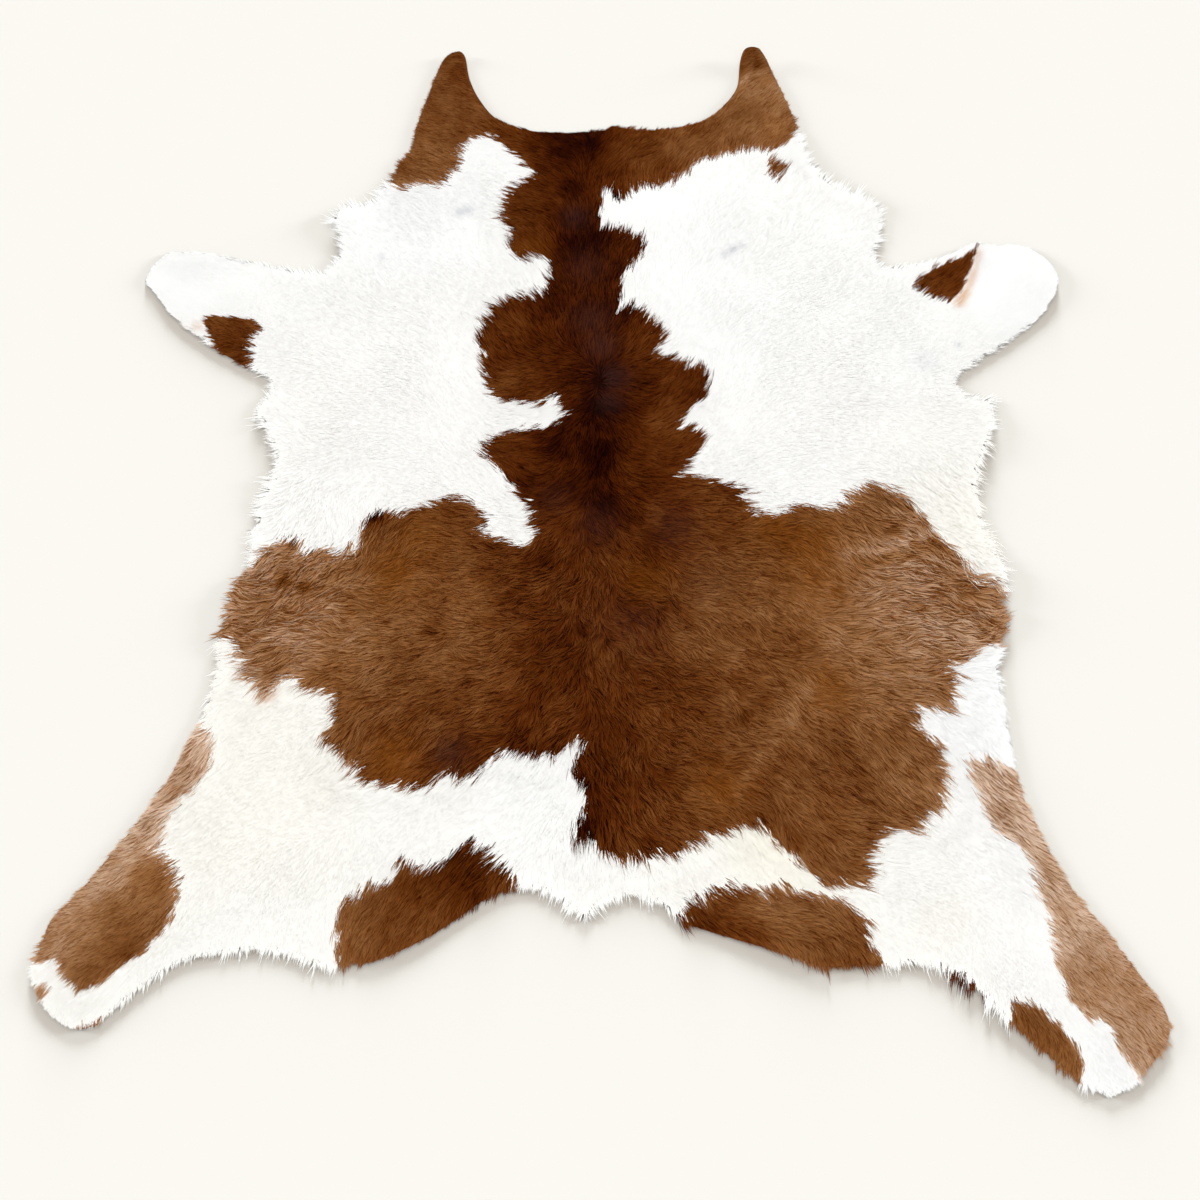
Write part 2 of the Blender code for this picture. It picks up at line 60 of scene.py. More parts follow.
# The same cut edge, ripples and pile as the solid, so that the looks sit on it.
# (x, y, how far the hair stands out past the edge), clockwise from the left ear, round unless a corner
cutEdge = {
    "leftEar": [
        (-0.368, 0.647, 0.010, "corner"), (-0.362, 0.683, 0.008), (-0.341, 0.716, 0.007),
        (-0.332, 0.768, 0.005), (-0.311, 0.845, 0.005), (-0.291, 0.910, 0.003), (-0.280, 0.926, 0.002),
        (-0.258, 0.934, 0.002), (-0.247, 0.921, 0.002), (-0.238, 0.874, 0.003), (-0.218, 0.828, 0.003),
        (-0.185, 0.786, 0.003), (-0.129, 0.761, 0.003),
    ],
    "neckCut": [
        (-0.059, 0.755, 0.003), (0.016, 0.761, 0.005, "corner"), (0.029, 0.770, 0.006, "corner"),
        (0.079, 0.761, 0.006), (0.145, 0.766, 0.006), (0.203, 0.786, 0.003), (0.237, 0.819, 0.003),
        (0.260, 0.857, 0.002),
    ],
    "rightEar": [
        (0.267, 0.911, 0.002), (0.277, 0.934, 0.002), (0.300, 0.936, 0.002), (0.316, 0.915, 0.002),
        (0.337, 0.861, 0.003), (0.357, 0.803, 0.005), (0.368, 0.759, 0.008),
    ],
    "rightNeck": [
        (0.377, 0.714, 0.012), (0.402, 0.666, 0.013), (0.437, 0.634, 0.013), (0.476, 0.615, 0.012),
        (0.508, 0.598, 0.010, "corner"), (0.509, 0.562, 0.010), (0.504, 0.529, 0.010),
        (0.486, 0.496, 0.010, "corner"), (0.506, 0.473, 0.008, "corner"),
    ],
    "rightForeleg": [
        (0.543, 0.471, 0.005), (0.603, 0.486, 0.003), (0.675, 0.519, 0.005, "corner"),
        (0.712, 0.515, 0.002), (0.757, 0.517, 0.002), (0.798, 0.490, 0.002), (0.817, 0.453, 0.002),
        (0.807, 0.415, 0.003), (0.772, 0.366, 0.003), (0.719, 0.323, 0.007), (0.664, 0.287, 0.008),
        (0.625, 0.260, 0.008), (0.618, 0.238, 0.008, "corner"), (0.637, 0.213, 0.010, "corner"),
    ],
    "rightFlank": [
        (0.680, 0.208, 0.010, "corner"), (0.674, 0.152, 0.013), (0.638, 0.062, 0.013),
        (0.640, 0.007, 0.013), (0.651, -0.051, 0.013), (0.670, -0.094, 0.012), (0.675, -0.123, 0.010),
        (0.659, -0.151, 0.010), (0.667, -0.193, 0.010), (0.657, -0.236, 0.010), (0.650, -0.282, 0.007),
        (0.659, -0.388, 0.005), (0.670, -0.478, 0.005),
    ],
    "rightHindLeg": [
        (0.691, -0.539, 0.005), (0.731, -0.627, 0.005), (0.794, -0.719, 0.005), (0.855, -0.812, 0.005),
        (0.862, -0.843, 0.007), (0.850, -0.873, 0.008), (0.816, -0.908, 0.007),
        (0.799, -0.927, 0.005, "corner"), (0.763, -0.944, 0.003, "corner"), (0.726, -0.925, 0.010),
        (0.682, -0.888, 0.013), (0.626, -0.835, 0.015), (0.589, -0.794, 0.017), (0.556, -0.766, 0.017),
        (0.521, -0.751, 0.020), (0.471, -0.746, 0.015),
    ],
    "rump": [
        (0.389, -0.752, 0.012), (0.348, -0.754, 0.010), (0.303, -0.740, 0.010), (0.247, -0.722, 0.004),
        (0.143, -0.690, 0.005), (0.116, -0.670, 0.013), (0.075, -0.641, 0.015), (0.039, -0.643, 0.015),
        (0.005, -0.655, 0.017), (-0.017, -0.684, 0.013, "corner"), (-0.054, -0.649, 0.015),
        (-0.091, -0.633, 0.015), (-0.131, -0.633, 0.012), (-0.170, -0.649, 0.006),
        (-0.256, -0.707, 0.004), (-0.343, -0.746, 0.005),
    ],
    "leftHindLeg": [
        (-0.384, -0.746, 0.017), (-0.425, -0.749, 0.017), (-0.466, -0.734, 0.015),
        (-0.513, -0.725, 0.013), (-0.569, -0.731, 0.013), (-0.629, -0.742, 0.012),
        (-0.668, -0.764, 0.010), (-0.722, -0.809, 0.007), (-0.759, -0.841, 0.005),
        (-0.790, -0.844, 0.003), (-0.826, -0.821, 0.003), (-0.851, -0.788, 0.005),
        (-0.862, -0.763, 0.007, "corner"), (-0.851, -0.725, 0.007), (-0.839, -0.683, 0.005),
        (-0.801, -0.641, 0.005), (-0.691, -0.486, 0.005),
    ],
    "leftFlank": [
        (-0.662, -0.423, 0.005), (-0.632, -0.355, 0.005), (-0.615, -0.271, 0.007),
        (-0.617, -0.236, 0.012, "corner"), (-0.606, -0.196, 0.012), (-0.597, -0.144, 0.012),
        (-0.575, -0.098, 0.012), (-0.564, 0.022, 0.015), (-0.543, 0.066, 0.013), (-0.546, 0.105, 0.013),
        (-0.565, 0.156, 0.015), (-0.587, 0.187, 0.012, "corner"), (-0.578, 0.206, 0.010, "corner"),
    ],
    "leftForeleg": [
        (-0.557, 0.221, 0.008, "corner"), (-0.568, 0.252, 0.008), (-0.606, 0.272, 0.007),
        (-0.664, 0.307, 0.005), (-0.747, 0.374, 0.003), (-0.779, 0.415, 0.002),
        (-0.802, 0.443, 0.002, "corner"), (-0.789, 0.473, 0.003), (-0.768, 0.501, 0.002, "corner"),
        (-0.699, 0.500, 0.003), (-0.538, 0.463, 0.007),
    ],
    "leftNeck": [
        (-0.486, 0.457, 0.010, "corner"), (-0.459, 0.494, 0.013), (-0.454, 0.529, 0.013),
        (-0.473, 0.566, 0.013, "corner"), (-0.468, 0.586, 0.015, "corner"), (-0.424, 0.598, 0.013),
        (-0.393, 0.613, 0.015, "corner"), (-0.389, 0.641, 0.015, "corner"),
    ],
}

# where the hide stands off the floor: (what, x, y, half length, half width, its heading in degrees, height)
ripples = [
    ("curled tip of the right ear", 0.281, 0.962, 0.095, 0.075, 105, 0.0150),
    ("tip of the left ear", -0.262, 0.955, 0.060, 0.060, 70, 0.0060),
    ("right side of the neck", 0.450, 0.665, 0.140, 0.075, -45, 0.0065),
    ("left side of the neck", -0.470, 0.560, 0.110, 0.070, 60, 0.0060),
    ("fold across the right foreleg", 0.668, 0.490, 0.110, 0.030, -100, 0.0050),
    ("toe of the right foreleg", 0.840, 0.420, 0.120, 0.080, 70, 0.0025),
    ("lower edge of the left foreleg", -0.750, 0.340, 0.160, 0.060, -40, 0.0016),
    ("upper flank on the right", 0.705, 0.110, 0.120, 0.090, 85, 0.0060),
    ("belly edge on the right", 0.705, -0.160, 0.120, 0.085, 90, 0.0075),
    ("upper flank on the left", -0.600, 0.090, 0.110, 0.080, 95, 0.0060),
    ("belly edge on the left", -0.640, -0.170, 0.120, 0.080, 75, 0.0070),
    ("right hind foot", 0.850, -0.920, 0.110, 0.110, -45, 0.0010),
    ("lower edge of the right hind leg", 0.600, -0.830, 0.170, 0.050, -42, 0.0024),
    ("left hind foot", -0.860, -0.820, 0.110, 0.110, 45, 0.0010),
    ("right buttock", 0.270, -0.775, 0.150, 0.070, -15, 0.0056),
    ("left buttock", -0.290, -0.775, 0.150, 0.070, 20, 0.0034),
]

# which way the hair lies: (x, y, degrees from +X, turning left)
hairLay = {
    "leftEar": [
        (-0.27, 0.91, 175), (-0.28, 0.85, 170), (-0.30, 0.78, 160), (-0.33, 0.68, 165),
    ],
    "neckCut": [
        (-0.12, 0.72, 160), (-0.07, 0.74, 145), (0.04, 0.72, 40), (0.10, 0.72, 25), (0.17, 0.74, 30),
    ],
    "rightEar": [
        (0.28, 0.92, 15), (0.29, 0.86, 35), (0.32, 0.80, 45), (0.25, 0.80, 40),
    ],
    "leftNeck": [
        (-0.47, 0.52, 135), (-0.13, 0.60, 165), (-0.21, 0.43, 155),
    ],
    "rightNeck": [
        (0.08, 0.64, 100), (0.13, 0.64, 80), (0.19, 0.68, 75), (0.24, 0.70, 75), (0.13, 0.72, 60),
        (0.24, 0.58, 45), (0.37, 0.61, 45),
    ],
    "leftForeleg": [
        (-0.72, 0.48, 170), (-0.73, 0.42, 150), (-0.52, 0.36, 160),
    ],
    "rightForeleg": [
        (0.62, 0.46, 40), (0.69, 0.47, 55), (0.66, 0.32, 35),
    ],
    "leftShoulder": [
        (-0.20, 0.31, 130), (-0.34, 0.27, -180), (-0.25, 0.25, 125), (-0.53, 0.24, 180),
        (-0.56, 0.19, 160), (-0.22, 0.12, 135), (-0.44, 0.07, -160), (-0.30, 0.08, 180),
        (-0.14, 0.08, 140),
    ],
    "rightShoulder": [
        (0.32, 0.41, 20), (0.21, 0.26, 70), (0.35, 0.27, 5), (0.49, 0.27, -5), (0.25, 0.17, 45),
        (0.64, 0.20, -10), (0.18, 0.13, 35), (0.28, 0.11, 0), (0.40, 0.11, -15),
    ],
    "back": [
        (-0.01, 0.53, 90), (0.03, 0.53, 70), (-0.10, 0.48, 130), (-0.01, 0.39, 90), (0.01, 0.31, 90),
        (0.04, 0.32, 55), (-0.04, 0.26, 180), (0.05, 0.27, 5), (-0.13, 0.22, -170), (-0.05, 0.21, -145),
        (0.05, 0.21, -30), (0.12, 0.21, 35), (0.05, 0.15, -50), (0.12, 0.15, 30), (-0.13, 0.11, -165),
        (-0.01, 0.11, -95), (0.09, 0.10, -10), (-0.05, 0.04, -150), (0.03, 0.02, -50),
        (0.10, 0.02, -10),
    ],
    "leftFlank": [
        (-0.57, 0.02, -135), (-0.42, -0.02, -90), (-0.47, 0.00, -100), (-0.44, -0.09, -155),
        (-0.37, -0.09, -130), (-0.23, -0.08, 175), (-0.39, -0.17, -175), (-0.23, -0.16, 180),
        (-0.13, -0.16, -160), (-0.06, -0.16, -140), (-0.59, -0.21, -165),
    ],
    "rightFlank": [
        (0.17, 0.07, -5), (0.50, 0.07, -40), (0.65, 0.05, -55), (0.31, -0.01, -5), (0.66, -0.05, -50),
        (0.19, -0.07, -10), (0.36, -0.08, -45), (0.07, -0.14, -40), (0.48, -0.16, -5),
        (0.07, -0.21, -45), (0.63, -0.23, 0),
    ],
    "leftSaddle": [
        (-0.43, -0.26, -170), (-0.21, -0.27, -175), (-0.11, -0.27, -155), (-0.04, -0.28, -135),
        (-0.38, -0.33, -155), (-0.19, -0.33, -165), (-0.40, -0.39, -120), (-0.07, -0.37, -135),
        (-0.25, -0.42, -135),
    ],
    "rightSaddle": [
        (-0.01, -0.16, -90), (-0.01, -0.30, -80), (0.09, -0.30, -35), (0.17, -0.30, -25),
        (0.56, -0.27, 0), (0.59, -0.30, -15), (0.04, -0.40, -65), (0.17, -0.39, -25),
        (0.16, -0.48, -30), (0.45, -0.48, -45), (0.01, -0.53, -80), (0.08, -0.55, -45),
        (0.36, -0.57, -45),
    ],
    "leftThigh": [
        (-0.62, -0.39, -125), (-0.54, -0.39, -145), (-0.67, -0.52, -135), (-0.48, -0.53, -145),
        (-0.36, -0.49, -145), (-0.09, -0.48, -125), (-0.18, -0.54, -140), (-0.38, -0.57, -105),
    ],
    "rightThigh": [
        (0.59, -0.33, -55), (0.64, -0.36, -65), (0.43, -0.56, -10), (0.55, -0.55, -45),
        (0.49, -0.61, -10), (0.50, -0.64, -30), (0.26, -0.57, -65), (0.30, -0.61, -55),
        (0.07, -0.62, -60),
    ],
    "leftHindLeg": [
        (-0.67, -0.58, -150), (-0.60, -0.67, -115), (-0.42, -0.73, -85), (-0.78, -0.72, -150),
        (-0.51, -0.72, -90), (-0.75, -0.80, -130), (-0.78, -0.84, -100),
    ],
    "rightHindLeg": [
        (0.67, -0.70, -40), (0.46, -0.75, -65), (0.52, -0.75, -65), (0.65, -0.74, -70),
        (0.61, -0.79, -75), (0.78, -0.80, -40), (0.65, -0.84, -55), (0.73, -0.91, -80),
        (0.80, -0.90, -60),
    ],
    "tail": [
        (-0.06, -0.61, -95), (0.04, -0.62, -80), (-0.14, -0.61, -120),
    ],
    "leftButtock": [
        (-0.35, -0.72, -120), (-0.29, -0.71, -130), (-0.23, -0.61, -120), (-0.17, -0.63, -140),
        (-0.39, -0.74, -105),
    ],
    "rightButtock": [
        (0.16, -0.66, -45), (0.22, -0.67, -15), (0.30, -0.67, -15), (0.16, -0.69, -25),
        (0.40, -0.74, -50),
    ],
}

# the brown patches' outlines: (x, y)
patches = {
    "saddle": {
        "leftEarBase": [
            (-0.398, 0.717), (-0.375, 0.646), (-0.342, 0.632), (-0.311, 0.640), (-0.275, 0.644),
            (-0.254, 0.676), (-0.241, 0.721), (-0.225, 0.743), (-0.199, 0.750), (-0.181, 0.737),
            (-0.156, 0.713), (-0.132, 0.687), (-0.112, 0.665),
        ],
        "leftOfNeck": [
            (-0.137, 0.652), (-0.158, 0.631), (-0.165, 0.616), (-0.172, 0.576), (-0.157, 0.553),
            (-0.161, 0.505), (-0.141, 0.489), (-0.125, 0.483), (-0.093, 0.495), (-0.082, 0.468),
            (-0.084, 0.440), (-0.098, 0.418), (-0.119, 0.412), (-0.140, 0.407), (-0.163, 0.401),
            (-0.179, 0.395),
        ],
        "leftOfWithers": [
            (-0.194, 0.369), (-0.206, 0.345), (-0.209, 0.318), (-0.193, 0.270), (-0.198, 0.259),
            (-0.189, 0.235), (-0.178, 0.214), (-0.161, 0.208), (-0.131, 0.205), (-0.097, 0.199),
            (-0.078, 0.216), (-0.064, 0.203), (-0.054, 0.182),
        ],
        "leftOfBack": [
            (-0.064, 0.166), (-0.091, 0.155), (-0.117, 0.155), (-0.142, 0.149), (-0.175, 0.138),
            (-0.195, 0.121), (-0.196, 0.106), (-0.179, 0.087), (-0.160, 0.068), (-0.146, 0.050),
            (-0.130, 0.022), (-0.106, 0.004), (-0.111, -0.027), (-0.101, -0.038), (-0.110, -0.060),
        ],
        "leftFlankTop": [
            (-0.125, -0.065), (-0.151, -0.054), (-0.169, -0.049), (-0.188, -0.031), (-0.185, -0.011),
            (-0.199, 0.009), (-0.221, 0.022), (-0.247, 0.024), (-0.277, 0.013), (-0.306, -0.002),
            (-0.332, -0.005), (-0.365, -0.002), (-0.382, -0.009), (-0.394, -0.031), (-0.393, -0.060),
            (-0.430, -0.072), (-0.456, -0.069), (-0.486, -0.070), (-0.500, -0.051), (-0.521, -0.038),
            (-0.542, -0.051), (-0.565, -0.087), (-0.589, -0.113), (-0.610, -0.147), (-0.647, -0.161),
        ],
        "leftFlankLow": [
            (-0.649, -0.231), (-0.613, -0.227), (-0.588, -0.239), (-0.587, -0.256), (-0.571, -0.274),
            (-0.576, -0.296), (-0.554, -0.302), (-0.536, -0.328), (-0.521, -0.318), (-0.501, -0.294),
            (-0.471, -0.309), (-0.428, -0.319), (-0.422, -0.373), (-0.442, -0.389), (-0.412, -0.419),
            (-0.385, -0.444), (-0.373, -0.465), (-0.339, -0.473),
        ],
        "leftOfRump": [
            (-0.312, -0.471), (-0.275, -0.478), (-0.245, -0.452), (-0.211, -0.462), (-0.190, -0.458),
            (-0.175, -0.436), (-0.147, -0.414), (-0.086, -0.427), (-0.054, -0.419),
        ],
        "tailHead": [
            (-0.029, -0.394), (-0.019, -0.414), (-0.046, -0.449), (-0.020, -0.481), (-0.012, -0.497),
            (-0.033, -0.534), (-0.037, -0.564), (-0.012, -0.558), (-0.001, -0.577), (0.035, -0.588),
            (0.071, -0.593), (0.124, -0.578), (0.155, -0.566), (0.165, -0.555),
        ],
        "rightOfRump": [
            (0.207, -0.548), (0.228, -0.536), (0.267, -0.544), (0.291, -0.572), (0.317, -0.600),
            (0.347, -0.627), (0.374, -0.630), (0.407, -0.627), (0.421, -0.632), (0.433, -0.607),
            (0.420, -0.588),
        ],
        "rightThigh": [
            (0.439, -0.563), (0.456, -0.542), (0.500, -0.544), (0.522, -0.521), (0.546, -0.502),
            (0.552, -0.470), (0.551, -0.436), (0.546, -0.398), (0.518, -0.381), (0.521, -0.343),
        ],
        "rightFlankLow": [
            (0.573, -0.351), (0.577, -0.304), (0.599, -0.289), (0.566, -0.282), (0.613, -0.253),
            (0.641, -0.238), (0.665, -0.238), (0.708, -0.231),
        ],
        "rightFlankTop": [
            (0.717, -0.138), (0.669, -0.140), (0.640, -0.124), (0.611, -0.100), (0.595, -0.074),
            (0.560, -0.027), (0.540, 0.005), (0.505, 0.037), (0.461, 0.055), (0.435, 0.041),
            (0.398, 0.009), (0.382, 0.006), (0.349, 0.008), (0.325, 0.009), (0.296, -0.007),
            (0.271, -0.002), (0.253, 0.011),
        ],
        "rightOfBack": [
            (0.238, 0.030), (0.259, 0.035), (0.249, 0.046), (0.207, 0.052), (0.175, 0.063),
            (0.132, 0.068), (0.148, 0.085), (0.170, 0.108), (0.186, 0.132), (0.176, 0.144),
            (0.165, 0.157), (0.142, 0.155), (0.144, 0.166), (0.153, 0.182), (0.183, 0.210),
            (0.194, 0.245), (0.186, 0.270), (0.160, 0.276), (0.134, 0.290), (0.101, 0.296),
            (0.110, 0.310),
        ],
        "rightOfWithers": [
            (0.121, 0.329), (0.112, 0.349), (0.086, 0.377), (0.056, 0.393), (0.037, 0.383),
            (0.046, 0.428), (0.051, 0.458), (0.076, 0.489), (0.082, 0.512),
        ],
        "rightOfNeck": [
            (0.077, 0.534), (0.043, 0.549), (0.007, 0.553), (0.007, 0.585), (0.005, 0.625),
            (0.025, 0.627), (0.032, 0.616),
        ],
        "rightEarBase": [
            (0.048, 0.610), (0.067, 0.628), (0.083, 0.642), (0.110, 0.633), (0.132, 0.639),
            (0.173, 0.675), (0.190, 0.694), (0.240, 0.707), (0.293, 0.718), (0.302, 0.708),
            (0.330, 0.719), (0.354, 0.737), (0.368, 0.763),
        ],
        "beyondTheEars": [
            (0.412, 0.805), (0.364, 0.985), (0.194, 1.008), (-0.069, 0.827), (-0.201, 0.917),
            (-0.317, 1.008),
        ],
    },
    "rightEarSpot": {"all": [
        (0.318, 0.697), (0.344, 0.684), (0.333, 0.654), (0.306, 0.670),
    ]},
    "leftButtock": {"all": [
        (-0.393, -0.751), (-0.402, -0.690), (-0.391, -0.650), (-0.350, -0.625), (-0.314, -0.621),
        (-0.311, -0.578), (-0.292, -0.597), (-0.255, -0.596), (-0.215, -0.574), (-0.200, -0.558),
        (-0.172, -0.574), (-0.135, -0.602), (-0.119, -0.636), (-0.149, -0.701), (-0.299, -0.791),
        (-0.383, -0.784),
    ]},
    "rightButtock": {"all": [
        (0.118, -0.678), (0.149, -0.651), (0.182, -0.634), (0.213, -0.625), (0.248, -0.636),
        (0.277, -0.627), (0.315, -0.637), (0.374, -0.644), (0.393, -0.666), (0.415, -0.686),
        (0.421, -0.713), (0.436, -0.748), (0.430, -0.791), (0.308, -0.799), (0.097, -0.716),
    ]},
    "leftHock": {"all": [
        (-0.636, -0.373), (-0.617, -0.386), (-0.608, -0.403), (-0.613, -0.440), (-0.638, -0.481),
        (-0.660, -0.497), (-0.681, -0.550), (-0.686, -0.571), (-0.656, -0.591), (-0.644, -0.646),
        (-0.663, -0.693), (-0.687, -0.728), (-0.724, -0.755), (-0.752, -0.779), (-0.774, -0.790),
        (-0.803, -0.778), (-0.826, -0.743), (-0.853, -0.748), (-0.881, -0.746), (-0.888, -0.686),
        (-0.769, -0.497), (-0.665, -0.333),
    ]},
    "rightHock": {"all": [
        (0.588, -0.432), (0.625, -0.424), (0.671, -0.449), (0.720, -0.449), (0.914, -0.806),
        (0.888, -0.894), (0.813, -0.923), (0.790, -0.887), (0.778, -0.860), (0.761, -0.831),
        (0.741, -0.831), (0.714, -0.797), (0.699, -0.751), (0.697, -0.721), (0.694, -0.670),
        (0.676, -0.638), (0.680, -0.602), (0.662, -0.574), (0.622, -0.539), (0.606, -0.497),
        (0.593, -0.465),
    ]},
    "rightHeel": {"all": [
        (0.629, -0.804), (0.664, -0.809), (0.692, -0.834), (0.716, -0.860), (0.726, -0.887),
        (0.723, -0.925), (0.703, -0.951), (0.606, -0.865), (0.624, -0.835),
    ]},
    "leftFoot": {"spot": [
        (-0.853, -0.785), (-0.836, -0.777), (-0.827, -0.784), (-0.842, -0.806), (-0.849, -0.800),
    ]},
    "leftFootEdge": {"all": [
        (-0.780, -0.842), (-0.758, -0.836), (-0.734, -0.825), (-0.742, -0.843), (-0.774, -0.860),
    ]},
    "rightHindEdge": {"all": [
        (0.524, -0.756), (0.548, -0.764), (0.566, -0.778), (0.582, -0.797), (0.575, -0.806),
        (0.540, -0.791),
    ]},
    "leftElbow": {"all": [
        (-0.691, 0.371), (-0.659, 0.371), (-0.604, 0.365), (-0.586, 0.345), (-0.603, 0.323),
        (-0.600, 0.300), (-0.603, 0.266), (-0.637, 0.278), (-0.662, 0.298), (-0.680, 0.333),
        (-0.689, 0.357),
    ]},
    "rightElbow": {"all": [
        (0.681, 0.524), (0.670, 0.500), (0.632, 0.483), (0.599, 0.470), (0.567, 0.445), (0.561, 0.431),
        (0.572, 0.416), (0.595, 0.410), (0.620, 0.401), (0.638, 0.414), (0.654, 0.447), (0.667, 0.478),
        (0.675, 0.500),
    ]},
}

# where the coat changes: (part, x, y, depth of the pile, hair length, tuftiness, waviness in degrees);
# the tuftiness goes from 0 sleek to 1 shaggy
coatKinds = [
    ("left ear", -0.30, 0.78, 0.0026, 0.013, 0.28, 6),
    ("right ear", 0.31, 0.80, 0.0026, 0.013, 0.32, 7),
    ("neck cut", 0.00, 0.72, 0.0030, 0.017, 0.20, 6),
    ("left neck", -0.40, 0.56, 0.0042, 0.023, 0.45, 9),
    ("right neck", 0.42, 0.58, 0.0042, 0.023, 0.45, 9),
    ("left foreleg", -0.68, 0.40, 0.0026, 0.012, 0.22, 6),
    ("right foreleg", 0.70, 0.40, 0.0026, 0.012, 0.22, 6),
    ("left shoulder", -0.35, 0.28, 0.0044, 0.022, 0.40, 9),
    ("right shoulder", 0.38, 0.28, 0.0044, 0.022, 0.40, 9),
    ("left back", -0.12, 0.15, 0.0040, 0.017, 0.22, 9),
    ("right back", 0.12, 0.15, 0.0040, 0.017, 0.22, 9),
    ("left flank", -0.52, -0.08, 0.0058, 0.030, 0.95, 34),
    ("right flank", 0.58, -0.10, 0.0058, 0.030, 0.95, 26),
    ("left saddle", -0.25, -0.20, 0.0046, 0.021, 0.42, 20),
    ("middle of the saddle", -0.03, -0.20, 0.0046, 0.020, 0.50, 34),
    ("right saddle", 0.28, -0.20, 0.0046, 0.021, 0.42, 22),
    ("rump", 0.06, -0.38, 0.0046, 0.020, 0.46, 34),
    ("left thigh", -0.50, -0.52, 0.0044, 0.022, 0.50, 9),
    ("right thigh", 0.52, -0.55, 0.0044, 0.022, 0.50, 9),
    ("left hock", -0.76, -0.72, 0.0028, 0.014, 0.20, 6),
    ("right hock", 0.76, -0.78, 0.0028, 0.014, 0.20, 6),
    ("tail head", -0.06, -0.57, 0.0050, 0.028, 0.55, 9),
    ("left buttock", -0.29, -0.69, 0.0042, 0.018, 0.18, 9),
    ("right buttock", 0.26, -0.69, 0.0042, 0.020, 0.32, 12),
]

